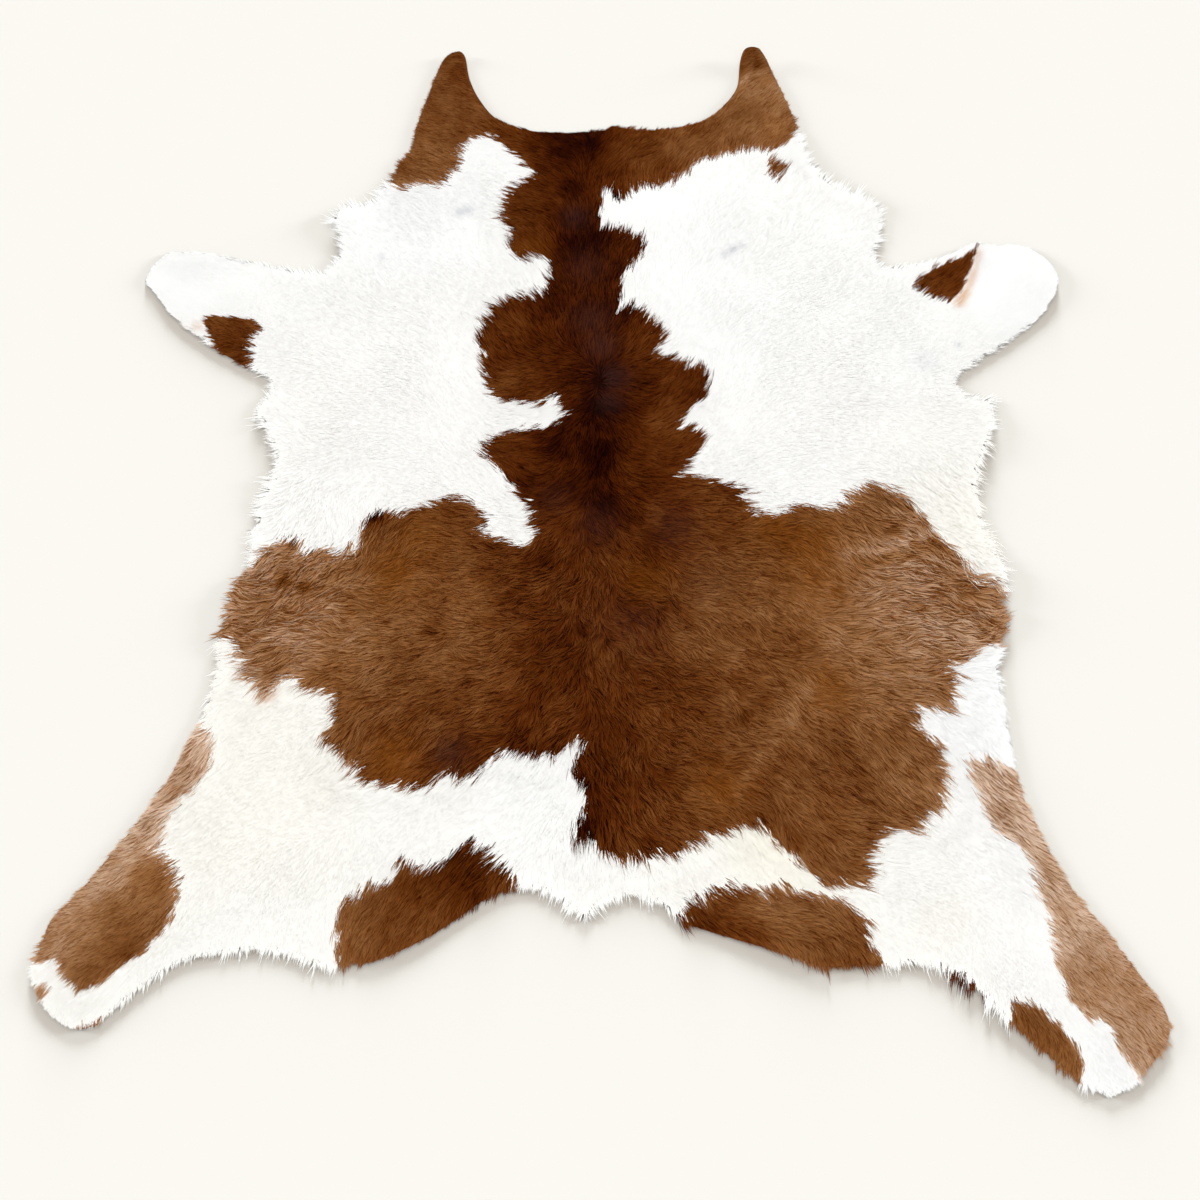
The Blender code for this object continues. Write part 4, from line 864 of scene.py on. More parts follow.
hair = {
    "seed": 5,
    "rootStep": 0.00171,       # between roots, before the long-haired parts are thinned
    "fullAt": 0.0155,          # hair of this length keeps every root
    "thinning": 1.45,          # how fast longer hair is thinned
    "clearOfCut": 0.0008,      # no root nearer the cut edge than this
    "rootSink": 0.0002,        # roots start this far down in the leather
    "curlyFrom": 0.74,         # tuftiness from which the hair is drawn as curly strands ...
    "curlyMixing": 0.06,       # ... give or take this much by chance
    "lengthSpread": 0.28,
    "tuftLengthSpread": 0.18,
    "sideShorter": 0.25,       # hair at a tuft's side is this much shorter
    "shortest": 0.15,          # share of its length that the cut edge leaves it at least
    "strayDegrees": 6,
    "tuftStray": (0.60, 0.30),  # large and small tufts turn by this share of the waviness
    "waves": [(0.032, 1.0), (0.014, 0.8), (0.008, 0.35)],     # (size of the waves, how strong)
    "smallTuft": 0.0068,       # hairs lean together in tufts this wide ...
    "largeTuft": 0.0150,       # ... and the tufts in larger ones
    "tuftStretch": 2.2,        # tufts are longer than wide
    "pull": {                  # how far the tips close up
        "small": 0.68, "large": 0.35, "sleek": 0.30, "white": 0.22,     # the last two are shares of small
        "atRim": 0.96,         # at the cut and where brown meets white
    },
    "bend": 1.5,               # hairs bend together more towards their tips
    "splay": 1.0,              # how far rim hair turns outwards ...
    "splayWidth": 0.030,       # ... within this much of the cut ...
    "splayHair": 0.010,        # ... and in full where it is at least this long
    "rimWidth": 0.010,         # what counts as rim hair
    "rimHair": 0.008,
    "rimReach": (0.20, 2.35),  # of the rim hair's length past the cut: between tufts, and a tuft's point
    "rimInset": 0.001,         # taken off that length first
    "rimSpread": (0.80, 1.15),
    "rimPoints": {"usual": 0.55, "large": 0.45, "largeSide": 0.40, "small": 0.55, "smallSide": 0.80},
    "rimGrowth": (0.15, 0.40),  # rim hair is this much longer, more or less from tuft to tuft
    "borderWidth": 0.018,      # hair this near the line where brown meets white ...
    "borderGrowth": (0.30, 0.75),  # ... is this much longer: brown and white
    "patchAt": 0.50,           # a hair takes the colour of the patch this far along it ...
    "patchJag": 0.0068,        # ... shifted by this much from tuft to tuft ...
    "jagShares": (0.7, 0.3),   # ... by small and large ones ...
    "patchStray": 0.0007,      # ... and by this much from hair to hair
    "coarse": {"from": 0.009, "over": 0.007, "limits": (0.30, 1.2)},     # short hair has a smoother border
    "height": {                # of the tips, as shares of the pile's depth
        "lowest": 0.45, "spread": 0.55, "usual": 0.75,
        "small": 0.16, "large": 0.22, "side": 0.20,      # from tuft to tuft, and down at their sides
        "brownAccent": 0.20, "whiteAccent": 0.08, "border": 0.16, "underRimShade": 0.55,
        "sleekRelief": 0.45, "whiteRelief": 0.07,        # how uneven that hair lies, beside tufty brown
    },
    "rollDegrees": {"sleek": 10, "tufty": 18, "white": 3},     # how far blades lie aslant
    "rollRise": 0.6,
    "dropWidth": 0.012,        # past the cut, hair comes down to the floor over this width ...
    "floorHeight": (0.0008, 0.0016),     # ... and lies this high there, with a spread
    "light": {                 # how round a tuft is in the light
        "brown": 0.40, "sleekShare": 0.45, "white": 0.05, "small": 0.6, "large": 0.25,
        "places": (0, 0.42, 1), "tilts": (-0.60, -0.24, 0.56),     # leaning back at the root, on at the tip
    },
    "whiteWidth": 1.30,        # white strands are drawn this much wider ...
    "whiteNarrower": 0.55,     # ... but less so at borders
    "browns": [                # the first is for pale strands on the palest brown
        (0.00, "#e8cdb6"), (0.09, "#cfac8e"), (0.27, "#aa7a50"), (0.41, "#8f5e34"), (0.55, "#77441c"),
        (0.68, "#5e2c09"), (0.80, "#471a02"), (0.91, "#2a0800"), (1.00, "#0e0100"),
    ],
    "whites": [(0.0, "#f7f7f6"), (0.4, "#f8f7f3"), (1.0, "#f8f4e6")],
    "tone": {                  # strands lighter and darker than their place, 0.5 in the middle: at random, and as painted shade on the lower strands and at tufts' sides
        # strand: the lower a strand lies, the darker it is drawn, as painted shade
        "strand": 0.30, "chance": 0.05, "small": 0.07, "large": 0.11,
        "ridge": 0.09, "smallSide": 0.12, "largeSide": 0.13,       # painted light along a tuft's middle, painted shade at its sides
        "sleekShare": 0.36, "sleekAccent": 0.25,                   # so much of it shows in sleek hair
        "seenAt": 0.6,         # the share of a hair at which its place's colour is read
        "paleFrom": 0.45, "lightShare": 0.75,
        "lift": 0.05, "tuftyLift": 0.13, "lightest": 0.84,
        "white": 0.1, "whiteAccent": 0.4,
    },
    "mottle": [(0.042, 0.060, 25), (0.015, 0.045, 26)],     # of the browns: (size, how strong, seed)
    "accents": {               # stray strands, thinner, longer and on top
        "light": 0.10, "dark": 0.14,           # their shares
        "sleekShare": 0.7, "tuftyShare": 0.8,  # of the dark ones there are fewer where it is sleek
        "lighter": 0.14, "darker": 0.70, "onPale": 0.40,
        "onWhite": 0.05,                       # only these show on white, and little
        "width": 0.56, "length": 0.80,         # of the others' width, and longer by so much
    },
    "underRimShade": {              # strands under the rim, coloured dark as painted shade, where its hair is longer than from
        "share": 0.42, "width": 0.008, "from": 0.004, "reach": 0.62, "colour": "#453930",
        "shade": 0.75, "spread": 0.5, "limits": (0.3, 1),
    },
    "fringe": 0.010,           # brown hair is paler so far in from the white
    "smudge": "#b9bcc6",
    "pink": "#dfbb9c",
    "plum": "#41241e",
    "amber": "#8b4d10",
    "shades": {                # what makes a strand's brown deeper, and what paler; tone and along carry painted shade on the lower strands, at tufts' sides and towards the roots
        "tone": 0.60, "lines": 0.30, "middle": 0.62, "along": 0.18, "fringe": -0.30, "amber": 0.7,
    },
    "whiteTone": 0.8,          # of the tone in the white hair's shade, the rest being the place along it
    "whiteShade": {"From Min": 0.10, "From Max": 0.42, "To Min": 0.94, "To Max": 1.0},
    "lines": {"Scale": 1.6, "Detail": 2.0},
    "roughness": (0.60, 0.80),
    "specular": 0.012,
    "bands": (0.4, 0.6),       # the sleek hairs' shares behind and before which pieces part
    "sleek": {
        "seed": 11,
        "places": (0.42,),           # along a strand, where it is drawn with a width ...
        "widths": (1.0,),            # ... of this share of the full width ...
        "heights": (0.72,),          # ... at this share of its tip's height
        "widthShare": 0.070,         # full width, of the strand's length
        "widthLimits": (0.0011, 0.0019),
        "pieces": ("coatLeftFront", "coatRightFront", "coatMiddle", "coatLeftBack", "coatRightBack"),
    },
    "curly": {
        "seed": 12,
        "places": (0.36, 0.70),
        "widths": (1.0, 0.80),
        "heights": (0.62, 0.94),
        "widthShare": 0.064,
        "widthLimits": (0.0013, 0.0021),
        "pieces": ("curlyLeft", "curlyRight"),
    },
}


def gatherTufts(x, y, turn, size, seed):
    # each hair's tuft: its number, how far the root lies left of its middle line, its dice and its middle
    layX, layY = np.cos(turn), np.sin(turn)
    dice = np.random.default_rng(seed)
    across = int(2.2 / size)      # wider than the hide
    shift = dice.uniform(0.12, 0.88, (2, across, across))      # of each tuft's middle in its square
    u, v = x / size + across / 2, y / size + across / 2
    i, j = np.floor(u).astype(int), np.floor(v).astype(int)
    best = np.full(x.shape, 9.0)
    number = np.zeros(x.shape, int)
    offset, middleX, middleY = (np.zeros(x.shape) for _ in range(3))
    for dj in (-1, 0, 1):
        for di in (-1, 0, 1):
            toX = (i + di + shift[0, j + dj, i + di] - u) * size
            toY = (j + dj + shift[1, j + dj, i + di] - v) * size
            along = toX * layX + toY * layY
            left = toY * layX - toX * layY
            away = (along / hair["tuftStretch"]) ** 2 + left**2
            closer = away < best
            best[closer] = away[closer]
            number[closer] = ((j + dj) * across + i + di)[closer]
            offset[closer] = -left[closer]
            middleX[closer] = (x + toX)[closer]
            middleY[closer] = (y + toY)[closer]
    return number, offset, dice.uniform(-1, 1, (4, across * across)), (middleX, middleY)


def placeRoots():
    # roots on a jittered grid, fewer where the hair is long
    dice = np.random.default_rng(hair["seed"])
    step = hair["rootStep"]
    x, y = np.meshgrid(np.arange(cadLow[0], cadHigh[0], step), np.arange(cadLow[1], cadHigh[1], step))
    x = (x + dice.uniform(0, step, x.shape)).ravel()
    y = (y + dice.uniform(0, step, y.shape)).ravel()
    chance = np.minimum(1, (hair["fullAt"] / readMap(maps, "length", x, y)) ** hair["thinning"])
    keep = (readMap(maps, "inside", x, y) > hair["clearOfCut"]) & (dice.uniform(size=x.shape) < chance)
    x, y = x[keep], y[keep]
    tufty = readMap(maps, "tufty", x, y) + hair["curlyMixing"] * dice.normal(size=len(x))
    isCurly = tufty > hair["curlyFrom"]
    return {"sleek": (x[~isCurly], y[~isCurly]), "curly": (x[isCurly], y[isCurly])}


def layAt(x, y):
    # which way the hair lies there, as an angle: combed, turned out at the rim, and in waves
    layX, layY = readMap(maps, "layX", x, y), readMap(maps, "layY", x, y)
    size = np.hypot(layX, layY) + 1e-9
    rim = np.clip(1 - readMap(maps, "inside", x, y) / hair["splayWidth"], 0, 1)
    rim *= np.clip(readMap(maps, "rimHair", x, y) / hair["splayHair"], 0, 1) * hair["splay"]
    layX = layX / size + rim * readMap(maps, "outX", x, y)
    layY = layY / size + rim * readMap(maps, "outY", x, y)
    waves = sum(strong * softNoise(x, y, wide, 21 + k) for k, (wide, strong) in enumerate(hair["waves"]))
    return np.arctan2(layY, layX) + np.radians(readMap(maps, "wavy", x, y)) * waves


def combHair(kind, x, y):
    # every hair from root to tip, with what its material wants to know
    strand = hair[kind]
    dice = np.random.default_rng(strand["seed"])
    count = len(x)
    inside, rimHair, wavy = (readMap(maps, key, x, y) for key in ("inside", "rimHair", "wavy"))

    # its tufts, its length and its path
    turn = layAt(x, y)
    large, largeSide, largeDice, _ = gatherTufts(x, y, turn, hair["largeTuft"], 31)
    small, smallSide, smallDice, middle = gatherTufts(x, y, turn, hair["smallTuft"], 32)
    off = np.clip(smallSide / (hair["smallTuft"] / 2), -1, 1)
    largeOff = np.clip(largeSide / (hair["largeTuft"] / 2), -1, 1)
    byLarge, bySmall = hair["tuftStray"]
    stray = np.radians(wavy) * (byLarge * largeDice[0, large] + bySmall * smallDice[0, small])
    stray += np.radians(hair["strayDegrees"]) * dice.normal(size=count)
    accents = hair["accents"]
    draw = dice.uniform(size=count)
    tufty = readMap(maps, "tufty", x, y)
    dark = accents["dark"] * (accents["sleekShare"] + accents["tuftyShare"] * tufty)
    accent = 1.0 * (draw < accents["light"]) - (draw > 1 - dark)
    usual = readMap(maps, "length", x, y)
    length = usual * (1 + hair["lengthSpread"] * dice.uniform(-1, 1, count))
    length *= 1 + accents["length"] * tufty * np.abs(accent)
    atPatch = readMap(maps, "patch", x, y)
    atBorder = np.exp(-(atPatch / hair["borderWidth"]) ** 2)
    atRim = np.exp(-(inside / hair["rimWidth"]) ** 2) * np.clip(rimHair / hair["rimHair"], 0, 1)
    more, spread = hair["rimGrowth"]
    length *= 1 + atRim * (more + spread * smallDice[1, small])
    growth = np.where(atPatch > 0, *hair["borderGrowth"])
    uneven = 1 + hair["tuftLengthSpread"] * smallDice[1, small] + growth * atBorder
    length *= uneven * (1 - hair["sideShorter"] * off * off)
    pull = hair["pull"]
    loose = np.where(atPatch > 0, pull["sleek"] + (1 - pull["sleek"]) * tufty, pull["white"])
    closing = pull["small"] * loose * (1 - atBorder) + pull["atRim"] * atBorder
    closing = -smallSide * (closing * (1 - atRim) + pull["atRim"] * atRim)
    closing -= largeSide * pull["large"] * tufty * (atPatch > 0)
    stations = (0, *strand["places"], 1)
    pathX, pathY = [x], [y]
    for before, place in zip(stations, stations[1:]):
        heading = layAt(pathX[-1], pathY[-1]) + stray
        pathX.append(pathX[-1] + length * (place - before) * np.cos(heading))
        pathY.append(pathY[-1] + length * (place - before) * np.sin(heading))
    heading = np.arctan2(pathY[-1] - y, pathX[-1] - x)
    aheadX, aheadY = np.cos(heading), np.sin(heading)
    for k, place in enumerate(stations):
        bent = closing * place**hair["bend"]
        pathX[k] = pathX[k] - aheadY * bent
        pathY[k] = pathY[k] + aheadX * bent

    # no farther past the cut edge than the rim's own hair, in pointed tufts
    peaks = hair["rimPoints"]
    point = peaks["usual"] + peaks["large"] * largeDice[2, large]
    point *= 1 - peaks["largeSide"] * np.abs(largeOff)
    point *= (1 - peaks["smallSide"] * np.abs(off)) * (1 + peaks["small"] * smallDice[1, small])
    valley, peak = hair["rimReach"]
    allowed = np.maximum(rimHair - hair["rimInset"], 0) * (valley + (peak - valley) * point)
    allowed *= dice.uniform(*hair["rimSpread"], count)
    rank = dice.uniform(size=count)
    # strands under the rim: shorter, lower, and coloured dark as painted shade
    below = hair["underRimShade"]
    under = (rank < below["share"]) & (inside < below["width"]) & (rimHair > below["from"])
    allowed *= np.where(under, below["reach"], 1)
    atTip = readMap(maps, "inside", pathX[-1], pathY[-1])
    shorten = np.where(-atTip > allowed, (inside + allowed) / np.maximum(inside - atTip, 1e-6), 1)
    shorten = np.clip(shorten, hair["shortest"], 1)
    pathX = [x + (place - x) * shorten for place in pathX]
    pathY = [y + (place - y) * shorten for place in pathY]
    length = length * shorten

    # brown or white, a tuft at a time
    ahead = hair["patchAt"] * length
    border = hair["coarse"]
    coarse = np.clip((usual - border["from"]) / border["over"], *border["limits"])
    atX, atY = x + coarse * (middle[0] - x), y + coarse * (middle[1] - y)
    intoPatch = readMap(maps, "patch", atX + ahead * aheadX, atY + ahead * aheadY)
    bySmall, byLarge = hair["jagShares"]
    jag = bySmall * smallDice[0, small] + byLarge * largeDice[0, large]
    intoPatch += hair["patchJag"] * coarse * jag
    intoPatch += hair["patchStray"] * dice.normal(size=count)
    brown = (intoPatch > 0).astype(float)

    # how high it lies: tips over the roots of the hair beyond, and down to the floor past the edge
    lie = hair["height"]
    share = lie["lowest"] + lie["spread"] * rank + lie["small"] * smallDice[3, small]
    share += lie["large"] * tufty * largeDice[2, large]
    share -= lie["side"] * tufty * off * off
    relief = lie["sleekRelief"] + (1 - lie["sleekRelief"]) * tufty
    relief = np.where(brown > 0, relief, lie["whiteRelief"])
    share = lie["usual"] + relief * (share - lie["usual"])
    share += np.where(brown > 0, lie["brownAccent"], lie["whiteAccent"]) * np.abs(accent)
    share += lie["border"] * atBorder * (1 - np.abs(off))
    share *= np.where(under, lie["underRimShade"], 1)
    half = np.clip(length * strand["widthShare"], *strand["widthLimits"]) / 2
    wide = hair["whiteWidth"] - hair["whiteNarrower"] * np.maximum(atRim, atBorder)
    half *= np.where(accent == 0, np.where(brown > 0, 1, wide), accents["width"])
    degrees = hair["rollDegrees"]
    degrees = np.where(brown > 0, degrees["sleek"] + degrees["tufty"] * tufty, degrees["white"])
    roll = np.radians(degrees) * dice.normal(size=count)
    slant = np.stack([-aheadY * np.cos(roll), aheadX * np.cos(roll), hair["rollRise"] * np.sin(roll)], 1)
    lowest, spread = hair["floorHeight"]
    points = []
    for k, place in enumerate(stations):
        atX, atY = pathX[k], pathY[k]
        floor = readMap(maps, "lift", atX, atY)
        if k == 0:
            points.append(np.stack([x, y, floor + lieOfHide["leather"] - hair["rootSink"]], 1))
            continue
        height = (*strand["heights"], 1)[k - 1]
        past = np.clip(-readMap(maps, "inside", atX, atY) / hair["dropWidth"], 0, 1)
        z = lieOfHide["leather"] + readMap(maps, "pile", atX, atY) * share * height
        z = floor + z * (1 - past) + (lowest + spread * rank) * past
        if place == 1:
            points.append(np.stack([atX, atY, z], 1))
            continue
        wide = half * strand["widths"][k - 1]
        sideways = slant * wide[:, None]
        points.append(np.stack([atX, atY, z], 1) + sideways)
        points.append(np.stack([atX, atY, z], 1) - sideways)
    points = np.stack(points, 1)
    along = [0] + [place for place in strand["places"] for _ in (0, 1)] + [1]
    across = [0] + [side for _ in strand["places"] for side in (1, -1)] + [0]

    # the light on its tuft: round across, and falling away to the tips
    light = hair["light"]
    shading = light["brown"] * (light["sleekShare"] + (1 - light["sleekShare"]) * tufty)
    shading = np.where(brown > 0, shading, light["white"])
    bulge = shading * (light["small"] * off + light["large"] * largeOff)
    normals = []
    for place in along:
        tilt = shading * np.interp(place, light["places"], light["tilts"])
        one = np.stack([aheadX * tilt - aheadY * bulge, aheadY * tilt + aheadX * bulge, np.ones(count)], 1)
        normals.append(one / np.linalg.norm(one, axis=1)[:, None])

    # what the material reads
    mix = hair["tone"]
    # tone: darker the lower the strand lies and at its tuft's sides, as painted shade, lighter along the
    # tuft's middle, as painted light, and the rest at random
    tone = mix["strand"] * (rank - 0.5) + mix["small"] * smallDice[2, small]
    tone += mix["large"] * largeDice[3, large]
    ridge = mix["ridge"] - mix["smallSide"] * off * off - mix["largeSide"] * largeOff * largeOff
    tone += mix["chance"] * dice.normal(size=count) + tufty * ridge
    tone *= mix["sleekShare"] + (1 - mix["sleekShare"]) * tufty
    seenX, seenY = x + mix["seenAt"] * (pathX[-1] - x), y + mix["seenAt"] * (pathY[-1] - y)
    depth, dark, pale, cream, grey, pink, plum, amber = (
        readMap(maps, key, seenX, seenY)
        for key in ("depth", "dark", "light", "cream", "grey", "pink", "plum", "amber"))
    paleness = np.clip(1 - depth / mix["paleFrom"], 0, 1)
    strong = np.where(accent > 0, accents["lighter"], accents["darker"])
    strong = strong * accent * (mix["sleekAccent"] + (1 - mix["sleekAccent"]) * tufty)
    tone += 0.5 + strong
    tone += accents["onPale"] * paleness * (1 - tufty) * np.minimum(accent, 0)
    tone = np.where(tone > 0.5, 0.5 + mix["lightShare"] * (tone - 0.5), tone)
    onBrown = np.minimum(tone + mix["lift"] + mix["tuftyLift"] * tufty**2, mix["lightest"])
    # white strands are also drawn greyer the lower they lie, as painted shade
    onWhite = 0.5 + mix["white"] * (rank - 0.5) - mix["whiteAccent"] * (draw > 1 - accents["onWhite"])
    tone = np.where(brown > 0, onBrown, onWhite)
    # darker at the dark marks and paler at the light ones, which are partly painted shade and painted
    # highlights
    depth += dark - pale
    depth += sum(strength * softNoise(x, y, size, seed) for size, strength, seed in hair["mottle"])
    fringe = np.clip(1 - intoPatch / hair["fringe"], 0, 1) * brown
    # how much painted shade darkens each strand under the rim
    shaded = under * np.clip(below["shade"] + below["spread"] * largeDice[1, large], *below["limits"])
    each = np.ones((count, len(along)))
    columns = {
        "coat": (depth, brown, tone),
        "tint": (cream, np.maximum(grey, pink), pink > grey),
        # the second of these is the painted shade of the strands under the rim
        "fringe": (fringe, shaded, plum - amber),
    }
    attributes = {}
    for name, values in columns.items():
        attributes[name] = np.stack([each * value[:, None] for value in values], 2)
    seedling = dice.uniform(size=count)
    attributes["strand"] = np.stack([each * along, each * across, each * seedling[:, None]], 2)
    return {
        "points": points,
        "normals": np.stack(normals, 1),
        "root": np.stack([x, y], 1),
        "attributes": attributes,
    }


def hairFinish():
    # brown and white cattle hair, told apart and shaded by what each strand carries
    material, tree, shader = newMaterial("cattleHair")
    depth, brown, tone = splitAttribute(tree, "coat")
    along, across, seedling = splitAttribute(tree, "strand")
    cream, stain, isPink = splitAttribute(tree, "tint")
    fringe, underRimShade, cast = splitAttribute(tree, "fringe")
    # fine lines along each strand, from its own part of the noise
    where = addNode(tree, "ShaderNodeCombineXYZ", {
        "X": doSum(tree, "MULTIPLY_ADD", across, 1.6, doSum(tree, "MULTIPLY", seedling, 91.0)),
        "Y": doSum(tree, "MULTIPLY_ADD", along, 1.3, doSum(tree, "MULTIPLY", seedling, 37.0)),
        "Z": doSum(tree, "MULTIPLY", seedling, 53.0),
    })
    lines = addNoise(tree, where.outputs[0], hair["lines"])
    # painted shade: deeper brown on the lower strands, at the tuft's sides and towards the roots; paler at
    # the tips and where the patch runs out
    shades = hair["shades"]
    terms = [("tone", 0.5, tone), ("lines", 0.5, lines), ("along", shades["middle"], along)]
    shade = depth
    for key, middle, value in terms:
        shade = doSum(tree, "MULTIPLY_ADD", doSum(tree, "SUBTRACT", middle, value), shades[key], shade)
    pale = doSum(tree, "MULTIPLY", fringe, doSum(tree, "SUBTRACT", 1.0, depth))
    shade = doSum(tree, "MULTIPLY_ADD", doSum(tree, "MULTIPLY", pale, along), shades["fringe"], shade)
    brownHair = addBrown(tree, shade)
    # plum shadows along the back, an amber glow beside it
    brownHair = mixColours(tree, doSum(tree, "MAXIMUM", cast, 0.0), brownHair, linear(hair["plum"]))
    glow = mixColours(tree, shades["amber"], brownHair, linear(hair["amber"]))
    isAmber = doSum(tree, "MAXIMUM", doSum(tree, "MULTIPLY", cast, -1.0), 0.0)
    brownHair = mixColours(tree, isAmber, brownHair, glow)
    # white hair with its smudges, a little greyer on stray strands, and as painted shade on the lower
    # strands and towards the roots
    whiteHair = addRamp(tree, cream, hair["whites"])
    mark = mixColours(tree, isPink, linear(hair["smudge"]), linear(hair["pink"]))
    whiteHair = mixColours(tree, stain, whiteHair, mark)
    fromTone = doSum(tree, "MULTIPLY", tone, hair["whiteTone"])
    lit = doSum(tree, "ADD", fromTone, doSum(tree, "MULTIPLY", along, 1 - hair["whiteTone"]))
    lit = addNode(tree, "ShaderNodeMapRange", {"Value": lit, **hair["whiteShade"]}).outputs[0]
    grey = addNode(tree, "ShaderNodeCombineXYZ", {"X": lit, "Y": lit, "Z": lit})
    whiteHair = mixColours(tree, 1.0, whiteHair, grey.outputs[0], "MULTIPLY")
    # painted shade: the strands under the rim darkened
    whiteHair = mixColours(tree, underRimShade, whiteHair, linear(hair["underRimShade"]["colour"]))
    plugIn(tree, shader.inputs["Base Color"], mixColours(tree, brown, whiteHair, brownHair))
    setSheen(tree, shader, lines, hair["roughness"], hair["specular"])
    return material


def weaveCoat(name, combed, chosen, finish):
    # the chosen hairs as one mesh: a triangle at the root and one at the tip, two for each bend between
    points = combed["points"][chosen] - hideMiddle
    count, corners = points.shape[:2]
    pattern = [(0, 2, 1)]
    for k in range(1, corners - 3, 2):
        pattern += [(k, k + 1, k + 2), (k + 1, k + 3, k + 2)]
    pattern.append((corners - 3, corners - 2, corners - 1))
    points = points.reshape(-1, 3)
    corner = (np.arange(count)[:, None] * corners + np.array(pattern).ravel()).ravel()
    mesh = bpy.data.meshes.new(name)
    mesh.vertices.add(len(points))
    mesh.vertices.foreach_set("co", points.astype(np.float32).ravel())
    mesh.loops.add(len(corner))
    mesh.loops.foreach_set("vertex_index", corner.astype(np.int32))
    mesh.polygons.add(len(corner) // 3)
    mesh.polygons.foreach_set("loop_start", np.arange(0, len(corner), 3, dtype=np.int32))
    mesh.polygons.foreach_set("use_smooth", np.ones(len(corner) // 3, dtype=bool))
    mesh.update(calc_edges=True)
    for key, values in combed["attributes"].items():
        setAttribute(mesh, key, values[chosen].reshape(-1, 3))
    # a map of the strands as they lie, seen from above
    low, high = points.min(0), points.max(0)
    plan = ((points - low) / (high - low))[corner][:, :2]
    mesh.uv_layers.new(name="OFBake").data.foreach_set("uv", plan.astype(np.float32).ravel())
    mesh.normals_split_custom_set_from_vertices(combed["normals"][chosen].reshape(-1, 3))
    return addPiece(name, mesh, finish)


def shareOut(kind, root):
    # the hairs' numbers for each coat piece
    if kind == "curly":
        return [np.flatnonzero(root[:, 0] < 0), np.flatnonzero(root[:, 0] >= 0)]
    # front and back by halves, and a band between them
    order = np.argsort(root[:, 1])
    back, middle, front = np.split(order, [int(share * len(order)) for share in hair["bands"]])
    shares = []
    for band in (front, back):
        band = band[np.argsort(root[band, 0])]
        shares += np.array_split(band, 2)
    return [np.sort(share) for share in (shares[0], shares[1], middle, shares[2], shares[3])]


leather = {
    "topStep": 0.0130,       # between points under the hair
    "topClear": 0.55,        # the first of them this share of a step in from the cut
    "underStep": 0.050,      # the same below
    "underClear": 0.30,
    "rimStep": 0.0065,
    "sharpDegrees": 50,
    "suede": [(0.30, "#b29a7c"), (0.55, "#c4ae92"), (0.75, "#d2c0a8")],
    "brownFelt": 0.22,       # the dense hair nearest the skin fills this share of the pile
    "whiteFelt": 0.44,
    "cutEdge": "#453930",    # painted shade of the rim's hair, on the cut edge and just inside it
    "shadedRim": 0.0035,     # this far in from the cut ...
    "shadedHair": 0.013,     # ... where the rim's hair is this long
    "skinPaler": -0.12,      # beside the hair that grows from it
    "stubbleShade": 0.30,
    "raggedness": 0.006,     # of the line where brown meets white
    "stubble": {"Scale": 420.0, "Detail": 4.0, "Roughness": 0.65},
    "nap": {"Scale": 60.0, "Detail": 6.0, "Roughness": 0.7},
    "bump": {"Strength": 0.35, "Distance": 0.0006},
    "roughness": (0.70, 0.95),
    "specular": 0.03,
}


def leatherField(step, clear):
    # staggered points well inside the cut edge
    rowStep = step * 0.866      # so the triangles are even
    x, y = np.meshgrid(np.arange(cadLow[0], cadHigh[0], step), np.arange(cadLow[1], cadHigh[1], rowStep))
    x[1::2] += step / 2
    x, y = x.ravel(), y.ravel()
    keep = readMap(maps, "inside", x, y) > clear
    return np.stack([x[keep], y[keep]], 1)


def spanned(loop, field):
    # triangles over the loop's points and then the field's, counter-clockwise
    flat = [Vector(place) for place in np.concatenate([loop, field])]
    insideOnly, nearness = 1, 1e-7
    made = delaunay_2d_cdt(flat, [], [list(range(len(loop)))], insideOnly, nearness)
    places, faces, origins = made[0], made[2], made[3]
    source = [origin[0] for origin in origins]
    turned = []
    for a, b, c in faces:
        if (places[b] - places[a]).cross(places[c] - places[a]) < 0:
            b, c = c, b
        turned.append((source[a], source[b], source[c]))
    return turned


def cutLeather():
    # one closed sheet of leather: hair side fine, flesh side coarse, and the cut edge between
    loop = smoothLoop(cutEdge, leather["rimStep"])[0]
    over = leatherField(leather["topStep"], leather["topStep"] * leather["topClear"])
    under = leatherField(leather["underStep"], leather["underStep"] * leather["underClear"])
    n, thick = len(loop), lieOfHide["leather"]
    flat = np.concatenate([loop, over, loop, under])
    x, y = flat[:, 0], flat[:, 1]
    start = n + len(over)
    z = readMap(maps, "lift", x, y)
    z[:start] += thick
    patch, pile = readMap(maps, "patch", x, y), readMap(maps, "pile", x, y)
    felt = np.where(patch > 0, leather["brownFelt"], leather["whiteFelt"])
    z[n:start] += (pile * felt)[n:start]
    faces = spanned(loop, over)
    faces += [(start + a, start + c, start + b) for a, b, c in spanned(loop, under)]
    for a in range(n):
        b = (a + 1) % n
        faces += [(a, b, start + b), (a, start + b, start + a)]
    mesh = bpy.data.meshes.new("hideLeather")
    mesh.from_pydata(np.column_stack([flat, z]) - hideMiddle, [], faces)
    isTop = np.arange(len(flat)) < start
    # the dark marks deepen the leather too, with their painted shade
    depth = readMap(maps, "depth", x, y) + readMap(maps, "dark", x, y)
    setAttribute(mesh, "coat", np.column_stack([depth, patch, isTop]))
    rim = [readMap(maps, key, x, y) for key in ("cream", "inside", "rimHair")]
    setAttribute(mesh, "rim", np.column_stack(rim))
    mesh.shade_smooth()
    mesh.set_sharp_from_angle(angle=math.radians(leather["sharpDegrees"]))
    return addPiece("hideLeather", mesh, leatherFinish())


